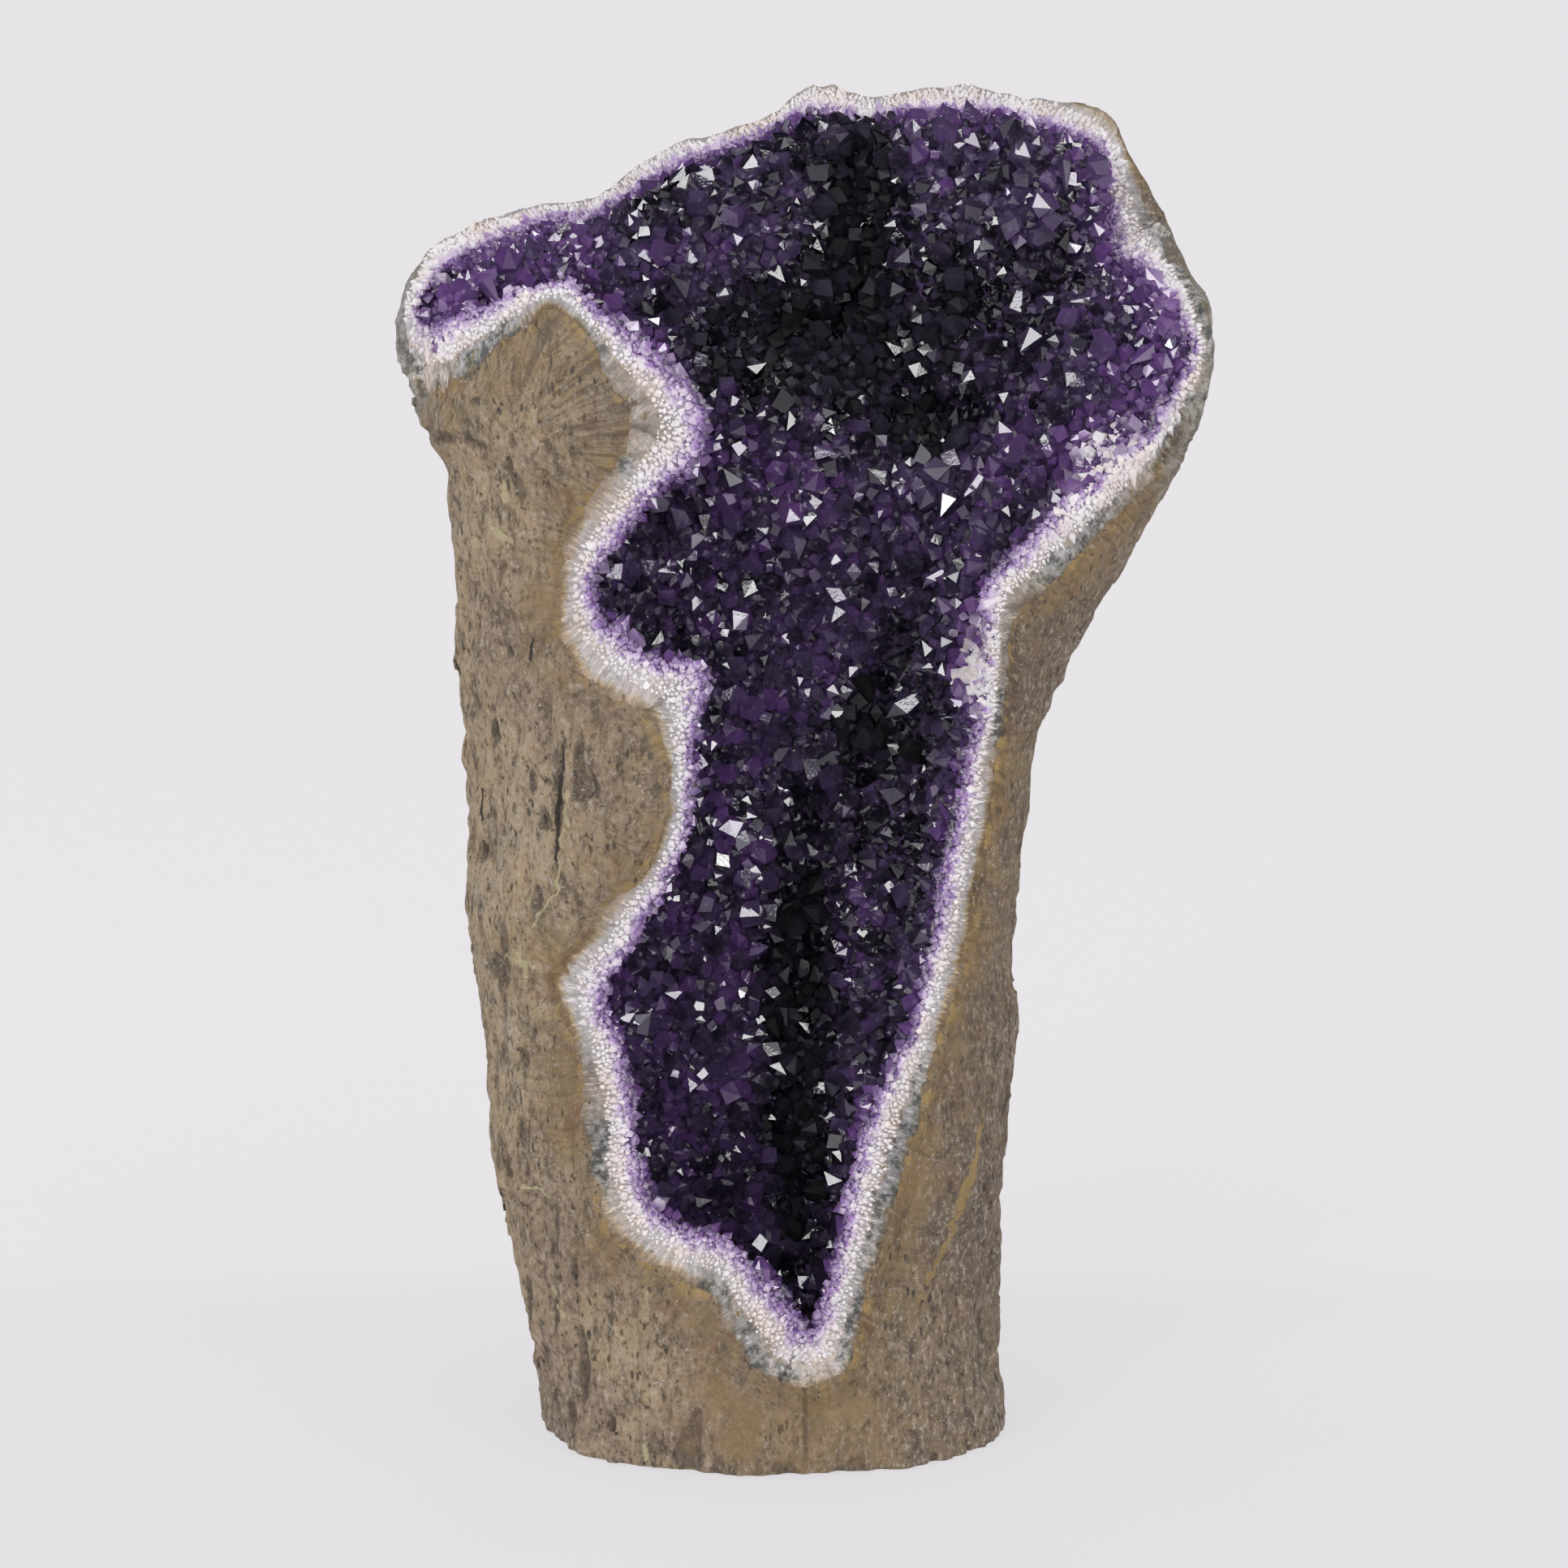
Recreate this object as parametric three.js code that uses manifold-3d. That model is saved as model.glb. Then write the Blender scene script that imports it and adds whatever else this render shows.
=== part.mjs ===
import * as THREE from 'three';
import { mergeVertices } from 'three/addons/utils/BufferGeometryUtils.js';
import Module from 'manifold-3d';

// Amethyst cathedral geode: a hollow trunk of basalt that stands upright. It is open at the top and
// down a slit in its front, and the hollow is lined with chalcedony and a crust of amethyst.
// Millimetres, +Z up, the slit faces -Y, and the origin is in the middle of the flat base.

const wasm = await Module();
wasm.setup();

// Outside of the rock: height, then how far it reaches to the left, right, front and back.
const PROFILE = [
  [0, -107, 107, -90, 88],
  [25, -109, 102, -90, 89],
  [60, -114, 100, -90, 92],
  [130, -128, 104, -90, 98],
  [190, -134, 108, -91, 102],
  [215, -137, 104, -91, 103],
  [250, -139, 107, -92, 104],
  [320, -140, 117, -95, 107],
  [350, -141, 128, -97, 108],
  [400, -143, 156, -100, 111],
  [440, -147, 180, -102, 114],
  [455, -157, 187, -103, 115],
  [480, -164, 194, -104, 117],
  [520, -167, 197, -104, 119],
  [640, -167, 197, -104, 121],
];
const TOP_OF_BLANK = 640;
const SECTION_POWER = 2.3;
const BACK_THICKENING = 1.5;

// Thickness of the layers, and of the rock at the foot.
const ROCK = 8;
const ROCK_AT_FOOT = 14;
const FOOT_HEIGHTS = [60, 220];
const LINING = 8;
const CRUST = 22;
const CRUST_AT_RIM = 6;
const CRUST_TAPER = 45;
const LAYER_GAP = 0.5;
const ROCK_FLOOR = 28;
const LINING_FLOOR = 10;
const FLOOR_ROUNDING = 52;
const FLOOR_POWER = 4;
const FLOOR_DISC = 0.97;

// Relief of the rock: lumps, and ribs that are three times as tall as wide.
const LUMP_SIZE = 24;
const LUMP_HEIGHT = 8;
const RIB_SIZE = 11;
const RIB_HEIGHT = 5;
const RIB_STRETCH = 3;
const RIB_SHIFT = 40;

// The rim, seen from the front, from the foot of the slit up its left side and round: x and z where
// the amethyst ends, x and z where the brown rock begins, and -1 on the front wall, 1 on the back.
const RIM = [
  [12, 57, 14, 37, -1], [-2, 76, -12, 48, -1], [-21, 99, -27, 76, -1], [-42, 105, -50, 90, -1],
  [-59, 125, -74, 108, -1], [-64, 157, -83, 145, -1], [-69, 190, -86, 185, -1], [-78, 214, -95, 219, -1],
  [-62, 240, -78, 247, -1], [-40, 284, -52, 280, -1], [-36, 324, -47, 316, -1], [-33, 356, -55, 340, -1],
  [-54, 365, -78, 352, -1], [-73, 377, -92, 374, -1], [-80, 394, -91, 400, -1], [-71, 412, -86, 420, -1],
  [-50, 438, -73, 440, -1], [-35, 452, -63, 458, -1], [-34, 471, -60, 472, -1], [-46, 488, -75, 483, -1],
  [-69, 508, -77, 499, -1], [-90, 521, -94, 514, -1], [-111, 517, -110, 502, -1], [-134, 506, -136, 479, -0.8],
  [-152, 499, -158, 471, -0.4], [-158, 505, -170, 492, 0.2], [-153, 518, -158, 520, 1], [-143, 529, -146, 533, 1],
  [-110, 538, -112, 544, 1], [-80, 543, -84, 549, 1], [-48, 562, -50, 570, 1], [-12, 573, -12, 581, 1],
  [20, 588, 20, 597, 1], [46, 585, 46, 593, 1], [76, 590, 76, 600, 1], [110, 586, 112, 594, 1],
  [138, 578, 147, 588, 1], [151, 566, 163, 565, 1], [150, 545, 176, 545, 1], [152, 528, 186, 521, 1],
  [168, 518, 192, 503, 0.7], [179, 500, 195, 489, 0.4], [184, 486, 192, 473, 0], [168, 456, 176, 448, -0.7],
  [146, 440, 158, 429, -1], [123, 424, 137, 408, -1], [105, 408, 118, 392, -1], [91, 389, 102, 376, -1],
  [93, 354, 101, 345, -1], [84, 303, 95, 295, -1], [71, 239, 85, 238, -1], [62, 193, 72, 188, -1],
  [44, 160, 62, 152, -1], [36, 132, 53, 118, -1], [27, 85, 41, 80, -1], [21, 62, 32, 47, -1],
];
const RIM_SAMPLES = 70;
const RIM_BEVEL = 10;
const RIM_BEVEL_AT_BACK = 2;
const RIM_INSIDE = 5;
const RIM_BEHIND = 8;
const MOUTH_INSIDE = 10;
const MOUTH_DEPTH = 20;
const NARROW_SHARE = 0.6;
const CUTTER_FRONT = -420;
const CUTTER_REACH = 150;
const CUTTER_FAR = 170;
const RIM_MIDDLE = new THREE.Vector2(15, 400);

// Swellings and hollows of the crust on the back wall: x, z, their half width and half height, and
// how far the crystals stand forward there.
const CRUST_FORMS = [
  [-8, 425, 48, 38, 26],
  [12, 462, 30, 12, 16],
  [66, 432, 26, 20, 14],
  [38, 530, 14, 62, -14],
  [12, 492, 34, 16, -12],
  [38, 330, 20, 22, -12],
  [5, 200, 16, 70, -12],
  [-45, 300, 30, 40, 12],
  [-60, 500, 40, 30, 10],
];

// Facets: segments round and rows up each surface.
const ROCK_FACETS = [45, 36];
const LAYER_FACETS = [18, 10];
const CRYSTAL_FACETS = [42, 46];
const ROW_TWIST = 0.5;
const LAYER_ROW_CROWDING = 1.15;
const WELD = 1e-4;
const CRYSTAL_TIP = 10;
const CRYSTAL_TIP_SPREAD = 5;
const CRYSTAL_LEAN = 5;
const CRYSTAL_ROOT_SPREAD = 3;

const SHELL_LOOK = { color: 0x857260, roughness: 0.9, metalness: 0 };
const LINING_LOOK = { color: 0xd6cdd4, roughness: 0.55, metalness: 0 };
const CRUST_LOOK = { color: 0x3c2460, roughness: 0.15, metalness: 0 };

function mix(from, to, share) {
  return from + (to - from) * share;
}

function smooth(from, to, value) {
  return THREE.MathUtils.smoothstep(value, from, to);
}

// A repeatable number from 0 to 1 for a place on a lattice.
function chance(i, j, k) {
  const wave = Math.sin(i * 127.1 + j * 311.7 + k * 74.7) * 43758.5453;
  return wave - Math.floor(wave);
}

// Smooth noise from -0.5 to 0.5, with features about one unit across.
function noise(x, y, z) {
  const base = [Math.floor(x), Math.floor(y), Math.floor(z)];
  const share = [x - base[0], y - base[1], z - base[2]].map((t) => t * t * (3 - 2 * t));
  let total = 0;
  for (let corner = 0; corner < 8; corner += 1) {
    const step = [corner & 1, (corner >> 1) & 1, corner >> 2];
    let weight = 1;
    for (let axis = 0; axis < 3; axis += 1) {
      weight *= step[axis] ? share[axis] : 1 - share[axis];
    }
    total += weight * chance(base[0] + step[0], base[1] + step[1], base[2] + step[2]);
  }
  return total - 0.5;
}

// Reach of the rock at a height, as left, right, front and back.
function reachAt(z) {
  const above = Math.max(1, PROFILE.findIndex((row) => row[0] >= z));
  const low = PROFILE[above - 1];
  const high = PROFILE[above];
  const share = (z - low[0]) / (high[0] - low[0]);
  return [1, 2, 3, 4].map((side) => mix(low[side], high[side], share));
}

// The cross-section at a height, moved in from the outside of the rock by an inset.
function sectionAt(z, inset) {
  const [left, right, front, back] = reachAt(z);
  const middleY = (front + back) / 2;
  return {
    x: (left + right) / 2,
    y: middleY,
    half: (right - left) / 2 - inset,
    front: middleY - front - inset,
    back: back - middleY - inset * BACK_THICKENING,
  };
}

function pointOnSection(angle, z, inset, size = 1) {
  const section = sectionAt(z, inset);
  const power = 2 / SECTION_POWER;
  const across = Math.sign(Math.cos(angle)) * Math.abs(Math.cos(angle)) ** power;
  const along = Math.sign(Math.sin(angle)) * Math.abs(Math.sin(angle)) ** power;
  const depth = along < 0 ? section.front : section.back;
  return new THREE.Vector3(section.x + size * section.half * across, section.y + size * depth * along, z);
}

// Y of a section's wall at x: on the front wall where side is -1 and on the back wall where it is 1.
function wallDepth(x, z, inset, side) {
  const section = sectionAt(z, inset);
  const across = Math.min(1, Math.abs(x - section.x) / section.half);
  const along = (1 - across ** SECTION_POWER) ** (1 / SECTION_POWER);
  return section.y + side * along * (side < 0 ? section.front : section.back);
}

function rockThickness(z) {
  return mix(ROCK_AT_FOOT, ROCK, smooth(FOOT_HEIGHTS[0], FOOT_HEIGHTS[1], z));
}

// How full a layer's section is at a height: 1 in the trunk, and rounded in towards its floor.
function fullness(z, floor) {
  const down = THREE.MathUtils.clamp((floor + FLOOR_ROUNDING - z) / FLOOR_ROUNDING, 0, FLOOR_DISC);
  return (1 - down ** FLOOR_POWER) ** (1 / FLOOR_POWER);
}

// A closed solid from a cylinder whose points are moved by place. Each row is turned half a step
// from the one above, so that its triangles are even.
function solidFromCylinder([around, rows], place) {
  const geometry = new THREE.CylinderGeometry(1, 1, 1, around, rows);
  geometry.deleteAttribute('normal');
  geometry.deleteAttribute('uv');
  const points = geometry.attributes.position;
  for (let i = 0; i < points.count; i += 1) {
    const turn = Math.atan2(points.getX(i), points.getZ(i)) / (2 * Math.PI);
    const onAxis = Math.hypot(points.getX(i), points.getZ(i)) < 0.5;
    const row = Math.round((0.5 - points.getY(i)) * rows);
    const column = (Math.round(turn * around) + around) % around;
    const angle = ((column + row * ROW_TWIST) / around) * 2 * Math.PI;
    const target = place({ angle, share: 1 - row / rows, row, column, onAxis });
    points.setXYZ(i, target.x, target.y, target.z);
  }
  return solidFrom(geometry);
}

function solidFrom(geometry) {
  const merged = mergeVertices(geometry, WELD);
  const mesh = new wasm.Mesh({
    numProp: 3,
    vertProperties: new Float32Array(merged.attributes.position.array),
    triVerts: new Uint32Array(merged.index.array),
  });
  mesh.merge();
  return new wasm.Manifold(mesh);
}

// The uncut rock, taller than the finished rim.
function rockBlank() {
  return solidFromCylinder(ROCK_FACETS, ({ angle, share, onAxis }) => {
    const z = share * TOP_OF_BLANK;
    if (onAxis) {
      return new THREE.Vector3(0, 0, z);
    }
    const point = pointOnSection(angle, z, 0);
    const lumps = LUMP_HEIGHT * noise(point.x / LUMP_SIZE, point.y / LUMP_SIZE, z / LUMP_SIZE);
    const tall = z / (RIB_SIZE * RIB_STRETCH);
    const ribs = RIB_HEIGHT * noise(point.x / RIB_SIZE + RIB_SHIFT, point.y / RIB_SIZE, tall);
    return pointOnSection(angle, z, -(lumps + ribs));
  });
}

// The smooth solid inside a layer's outer face, at a depth below the inside of the rock.
function hollowBlank(depth, floor) {
  return solidFromCylinder(LAYER_FACETS, ({ angle, share, onAxis }) => {
    const z = floor + (TOP_OF_BLANK - floor) * share ** LAYER_ROW_CROWDING;
    const size = onAxis ? 0 : fullness(z, floor);
    return pointOnSection(angle, z, rockThickness(z) + depth, size);
  });
}

function rimCurve(xColumn, zColumn) {
  const points = RIM.map((row) => new THREE.Vector3(row[xColumn], row[zColumn], row[4]));
  return new THREE.CatmullRomCurve3(points, true);
}

// Places along the rim, flat as seen from the front, with both edges and which way is inward.
function rimStations() {
  const innerCurve = rimCurve(0, 1);
  const outerCurve = rimCurve(2, 3);
  const stations = [];
  for (let i = 0; i < RIM_SAMPLES; i += 1) {
    const share = i / RIM_SAMPLES;
    const from = innerCurve.getPoint(share);
    const to = outerCurve.getPoint(share);
    const ahead = innerCurve.getPoint((share + 0.5 / RIM_SAMPLES) % 1);
    const behind = innerCurve.getPoint((share - 0.5 / RIM_SAMPLES + 1) % 1);
    const inner = new THREE.Vector2(from.x, from.y);
    const outer = new THREE.Vector2(to.x, to.y);
    const inward = new THREE.Vector2(ahead.y - behind.y, behind.x - ahead.x).normalize();
    const outward = outer.clone().sub(inner).normalize();
    stations.push({ inner, outer, inward, outward, side: THREE.MathUtils.clamp(from.z, -1, 1) });
  }
  return stations;
}

// Radius of the largest circle that touches the rim's outline from within at a station.
function roomAt(place, inward, all) {
  const radii = all.map(({ inner }) => {
    const away = inner.clone().sub(place);
    const facing = away.dot(inward);
    return facing > 1e-6 ? away.lengthSq() / (2 * facing) : Infinity;
  });
  return Math.min(...radii);
}

function onWall(flat, depth, side) {
  const y = wallDepth(flat.x, flat.y, rockThickness(flat.y) + depth, side);
  return new THREE.Vector3(flat.x, y, flat.y);
}

// Triangles across a ring, all turned the same way as seen from the front.
function capTriangles(ring, first, turn) {
  const flat = ring.map((point) => new THREE.Vector2(point.x, point.z));
  const corners = [];
  for (const [a, b, c] of THREE.ShapeUtils.triangulateShape(flat, [])) {
    const isTurned = THREE.ShapeUtils.area([flat[a], flat[b], flat[c]]) * turn > 0;
    corners.push(first + a, first + (isTurned ? b : c), first + (isTurned ? c : b));
  }
  return corners;
}

// Everything in front of the rim: a block whose back face runs through both edges of the rim.
function rimCutter(stations) {
  const rings = [[], [], [], [], [], [], []];
  for (const { inner, outer, inward, outward, side } of stations) {
    const isBack = smooth(-0.2, 0.8, side);
    const room = Math.min(1, (NARROW_SHARE * roomAt(inner, inward, stations)) / MOUTH_INSIDE);
    const mouth = inner.clone().addScaledVector(inward, MOUTH_INSIDE * room);
    const deep = inner.clone().addScaledVector(inward, RIM_INSIDE * room);
    const bevel = outer.clone().addScaledVector(outward, mix(RIM_BEVEL, RIM_BEVEL_AT_BACK, isBack));
    const away = outer.clone().sub(RIM_MIDDLE).normalize();
    const far = bevel.clone().addScaledVector(away, CUTTER_FAR * isBack);
    const rockEdge = onWall(outer, 0, side);
    const bevelDepth = rockEdge.y + mix(-1, 1, isBack) * 2 * ROCK;
    rings[0].push(new THREE.Vector3(mouth.x, sectionAt(mouth.y, 0).y + side * MOUTH_DEPTH, mouth.y));
    rings[1].push(onWall(deep, LINING + RIM_BEHIND, side));
    rings[2].push(onWall(inner, LINING, side));
    rings[3].push(rockEdge);
    rings[4].push(new THREE.Vector3(bevel.x, bevelDepth, bevel.y));
    rings[5].push(new THREE.Vector3(far.x, mix(-CUTTER_REACH, CUTTER_REACH, isBack), far.y));
    rings[6].push(new THREE.Vector3(far.x, CUTTER_FRONT, far.y));
  }
  const around = stations.length;
  const corners = [];
  const wall = [];
  rings.forEach((ring) => ring.forEach((point) => corners.push(point.x, point.y, point.z)));
  for (let ring = 0; ring + 1 < rings.length; ring += 1) {
    for (let i = 0; i < around; i += 1) {
      const here = ring * around + i;
      const next = ring * around + ((i + 1) % around);
      wall.push(here, here + around, next, next, here + around, next + around);
    }
  }
  wall.push(...capTriangles(rings[0], 0, -1));
  wall.push(...capTriangles(rings[6], 6 * around, 1));
  const geometry = new THREE.BufferGeometry();
  geometry.setAttribute('position', new THREE.Float32BufferAttribute(corners, 3));
  geometry.setIndex(wall);
  return solidFrom(geometry);
}

// How thick the crust is at a place: thin at the rim, and with swellings and hollows at the back.
function crustThickness(point, rim) {
  const toRim = Math.min(...rim.map((station) => station.distanceTo(point)));
  let thick = mix(CRUST_AT_RIM, CRUST, smooth(0, CRUST_TAPER, toRim));
  if (point.y > 0) {
    for (const [x, z, width, height, raise] of CRUST_FORMS) {
      const far = ((point.x - x) / width) ** 2 + ((point.z - z) / height) ** 2;
      thick += raise * Math.exp(-far) * smooth(0, CRUST_TAPER, toRim);
    }
  }
  return Math.max(CRUST_AT_RIM, thick);
}

// The empty hollow: every third point of its lattice is a crystal's tip, with six faces round it.
function crystalHollow(rim) {
  const floor = ROCK_FLOOR + LINING_FLOOR + CRUST;
  const lastRow = CRYSTAL_FACETS[1];
  return solidFromCylinder(CRYSTAL_FACETS, ({ angle, share, row, column, onAxis }) => {
    const z = floor + (TOP_OF_BLANK - floor) * share;
    const size = onAxis ? 0 : fullness(z, floor);
    const foot = pointOnSection(angle, z, rockThickness(z) + LINING, fullness(z, floor));
    const loose = [1, 2, 3].map((draw) => chance(column, row, draw) - 0.5);
    const isTip = (column + 2 * row) % 3 === 0 && size > 0.5;
    const tip = isTip ? CRYSTAL_TIP + CRYSTAL_TIP_SPREAD * loose[1] : 0;
    const inset = LINING + crustThickness(foot, rim) + CRYSTAL_ROOT_SPREAD * loose[0] + tip;
    const point = pointOnSection(angle, z, rockThickness(z) + inset, size);
    if (isTip && row > 0 && row < lastRow) {
      point.add(new THREE.Vector3(loose[1], loose[2], loose[0]).multiplyScalar(CRYSTAL_LEAN));
    }
    return point;
  });
}

// The biggest body of a solid, without the chips that a cut leaves.
function mainBody(solid) {
  const bodies = solid.decompose();
  return bodies.reduce((best, body) => (body.volume() > best.volume() ? body : best));
}

function namedMesh(name, solid, look) {
  const { vertProperties, triVerts } = mainBody(solid).getMesh();
  const geometry = new THREE.BufferGeometry();
  geometry.setAttribute('position', new THREE.BufferAttribute(vertProperties, 3));
  geometry.setIndex(new THREE.BufferAttribute(triVerts, 1));
  geometry.computeVertexNormals();
  const mesh = new THREE.Mesh(geometry, new THREE.MeshStandardMaterial(look));
  mesh.name = name;
  return mesh;
}

const stations = rimStations();
const rim = stations.map(({ inner, side }) => onWall(inner, LINING, side));
const cutter = rimCutter(stations);

function basaltShell() {
  return rockBlank().subtract(hollowBlank(0, ROCK_FLOOR)).subtract(cutter);
}

function chalcedonyLining() {
  const outside = hollowBlank(LAYER_GAP, ROCK_FLOOR + LAYER_GAP);
  return outside.subtract(hollowBlank(LINING, ROCK_FLOOR + LINING_FLOOR)).subtract(cutter);
}

function amethystCrust() {
  const outside = hollowBlank(LINING + LAYER_GAP, ROCK_FLOOR + LINING_FLOOR + LAYER_GAP);
  return outside.subtract(crystalHollow(rim)).subtract(cutter);
}

const group = new THREE.Group();
group.add(namedMesh('basalt_shell', basaltShell(), SHELL_LOOK));
group.add(namedMesh('chalcedony_lining', chalcedonyLining(), LINING_LOOK));
group.add(namedMesh('amethyst_crust', amethystCrust(), CRUST_LOOK));

export default group;
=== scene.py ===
import itertools
import math

import bpy
import numpy as np
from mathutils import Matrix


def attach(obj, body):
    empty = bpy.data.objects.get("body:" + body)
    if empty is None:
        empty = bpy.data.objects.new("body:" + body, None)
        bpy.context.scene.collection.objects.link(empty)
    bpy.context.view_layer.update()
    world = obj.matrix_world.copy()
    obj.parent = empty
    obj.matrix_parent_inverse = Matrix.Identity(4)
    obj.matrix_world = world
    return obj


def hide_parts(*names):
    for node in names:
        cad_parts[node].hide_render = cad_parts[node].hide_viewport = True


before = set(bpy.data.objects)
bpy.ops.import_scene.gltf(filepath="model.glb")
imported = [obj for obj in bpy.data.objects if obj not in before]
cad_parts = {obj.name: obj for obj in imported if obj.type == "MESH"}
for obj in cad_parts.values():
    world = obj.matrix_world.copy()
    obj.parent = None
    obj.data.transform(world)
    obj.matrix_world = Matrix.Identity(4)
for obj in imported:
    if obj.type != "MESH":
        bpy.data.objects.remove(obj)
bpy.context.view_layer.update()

# Lengths are in millimetres up to the point where a mesh is made. MM turns them into metres.
MM = 0.001
SEED = 20

# Outside of the rock: height, then how far it reaches to the left, right, front and back.
PROFILE = np.array([
    [-10, -107, 107, -90, 88],
    [0, -107, 107, -90, 88],
    [25, -109, 102, -90, 89],
    [60, -114, 100, -90, 92],
    [130, -128, 104, -90, 98],
    [190, -134, 108, -91, 102],
    [215, -137, 104, -91, 103],
    [250, -139, 107, -92, 104],
    [320, -140, 117, -95, 107],
    [350, -141, 128, -97, 108],
    [400, -143, 156, -100, 111],
    [440, -147, 180, -102, 114],
    [455, -157, 187, -103, 115],
    [480, -164, 194, -104, 117],
    [520, -167, 197, -104, 119],
    [640, -167, 197, -104, 121],
], dtype=float)
SECTION_POWER = 2.3
BACK_THICKENING = 1.5

# Thickness of the layers, and of the rock at the foot.
ROCK = 8.0
ROCK_AT_FOOT = 14.0
FOOT_HEIGHTS = (60.0, 220.0)
LINING = 8.0
CRUST = 28.0
CRUST_AT_RIM = 7.0
CRUST_TAPER = 45.0
ROCK_FLOOR = 28.0
FLOOR_BLEND = 14.0

# The rim, seen from the front, from the foot of the slit up its left side and round: x and z where
# the amethyst ends, x and z where the brown rock begins, and -1 on the front wall, 1 on the back.
RIM = np.array([
    [12, 57, 14, 37, -1], [-2, 76, -12, 48, -1], [-21, 99, -27, 76, -1], [-42, 105, -50, 90, -1],
    [-59, 125, -74, 108, -1], [-64, 157, -83, 145, -1], [-69, 190, -86, 185, -1],
    [-78, 214, -95, 219, -1], [-62, 240, -78, 247, -1], [-40, 284, -52, 280, -1],
    [-36, 324, -47, 316, -1], [-33, 356, -55, 340, -1], [-54, 365, -78, 352, -1],
    [-73, 377, -92, 374, -1], [-80, 394, -91, 400, -1], [-71, 412, -86, 420, -1],
    [-50, 438, -73, 440, -1], [-35, 452, -63, 458, -1], [-34, 471, -62, 471, -1],
    [-46, 488, -72, 485, -1], [-69, 508, -77, 499, -1], [-90, 521, -94, 514, -1],
    [-111, 517, -110, 502, -1], [-134, 506, -136, 479, -1], [-152, 499, -158, 471, -0.9],
    [-158, 505, -168, 492, 0.2], [-153, 518, -158, 520, 1], [-143, 529, -146, 533, 1],
    [-110, 538, -112, 544, 1], [-80, 543, -84, 549, 1], [-48, 562, -50, 570, 1],
    [-12, 573, -12, 581, 1], [20, 588, 20, 597, 1], [46, 585, 46, 593, 1], [76, 590, 76, 599, 1],
    [110, 586, 112, 594, 1], [138, 578, 147, 588, 1], [151, 566, 163, 565, 1],
    [150, 545, 174, 545, 1], [152, 528, 184, 521, 1], [168, 518, 190, 503, 0.7],
    [179, 500, 193, 489, 0.4], [184, 486, 191, 473, 0], [168, 456, 176, 448, -0.7],
    [146, 440, 158, 429, -1], [123, 424, 137, 408, -1], [105, 408, 118, 392, -1],
    [91, 389, 102, 376, -1], [93, 354, 101, 345, -1], [84, 303, 95, 295, -1],
    [71, 239, 85, 238, -1], [62, 193, 72, 188, -1], [44, 160, 62, 152, -1], [36, 132, 53, 118, -1],
    [27, 85, 41, 80, -1], [21, 62, 32, 47, -1],
], dtype=float)
RIM_STEPS = 36
# Inside the amethyst's edge the cut first goes behind the wall there, and then on towards the
# trunk's middle: how far in each ends, and how deep it goes.
RIM_INSIDE = 5.0
RIM_BEHIND = 8.0
MOUTH_INSIDE = 10.0
MOUTH_DEPTH = 20.0
# Outside the brown rock's edge it falls back, on the front by a slope and a curve, on the back by a
# slope. The rock is thinner within the reach.
FRONT_BEVEL = (0.8, 0.06)
BACK_BEVEL = 7.0
BEVEL_REACH = 9.0
# How far the rock's edge lies behind the band's edge at the back.
ROCK_BACK_DROP = 16.0
# How far the rock reaches in under the band.
ROCK_UNDER_BAND = 2.5
# Unevenness of the band's two edges: size of the waves and how far they go.
EDGE_WAVES = ((15.0, 1.9), (5.5, 1.3))

# Swellings and hollows of the crust on the back wall: x, z, their half width and half height, and
# how far the crystals stand forward there.
CRUST_FORMS = [
    (-8, 425, 48, 38, 24),
    (12, 460, 32, 10, 20),
    (66, 432, 26, 16, 16),
    (38, 530, 15, 62, -17),
    (12, 494, 34, 14, -17),
    (68, 458, 20, 10, -14),
    (38, 330, 20, 22, -12),
    (5, 200, 16, 70, -12),
    (-45, 300, 30, 40, 12),
    (-60, 500, 40, 30, 10),
    (142, 548, 26, 36, -16),
]

# The block of space that the surfaces are looked for in, from one corner to the other (its lowest z
# follows from the step), and the distance between its points for each surface. A smaller step gives
# more triangles than a mesh may have.
GRID_LOW = (-178.0, -112.0)
GRID_HIGH = (208.0, 136.0, 612.0)
ROCK_STEP = 2.25
BAND_STEP = 1.9
CRUST_STEP = 3.8
# Loose bits of a surface with fewer points than this are left out.
FEWEST_POINTS = 400

# How many places are tried for crystals, how close two may be as a share of their widths, and how
# wide they are: by the rim and away from it, and at least and at most.
CRYSTAL_TRIES = 190000
CRYSTAL_GAP = 0.32
CRYSTAL_WIDTHS = (4.6, 6.2)
CRYSTAL_LIMITS = (2.4, 13.0)
SUGAR_TRIES = 130000
SUGAR_GAP = 0.33
SUGAR_WIDTH = 2.4
# How far they lean over by chance, and how far they stand out at least and at most, in widths.
CRYSTAL_LEAN = 0.42
CRYSTAL_HEIGHTS = (0.0, 0.45)
SUGAR_LEAN = 0.25
SUGAR_HEIGHTS = (-0.3, 0.45)
# Lightness deep in the hollow and how much more at the rim, and on the band at the amethyst's edge
# and how much more at the rock's.
CRYSTAL_LIGHT = (0.11, 0.47)
SUGAR_LIGHT = (0.54, 1.7)
# How far the crystals' lightness is lowered in the shaded places, and round them: painted shade.
PAINTED_SHADE_AMOUNT = 0.3
PAINTED_DUSK_AMOUNT = 0.18
# Side of the cells in which neighbours are looked for. It is wider than any gap.
SCATTER_CELL = 9.0
# How far under the outside of the rock a crystal has to stand.
UNDER_ROCK = 3.5

# Crystal shape, in crystal widths.
SIDE_SPREAD = 0.16
EDGE_SPREAD = 0.12
EDGE_STEP = 0.10
TIP_SPREAD = 0.09
PYRAMID = (0.35, 0.75)
ROOT = 1.3
# Where the crystals are smaller: x, z, half width and half height.
SMALL_PLACES = [(-125, 520, 45, 26), (146, 441, 18, 20), (89, 364, 12, 13)]

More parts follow.
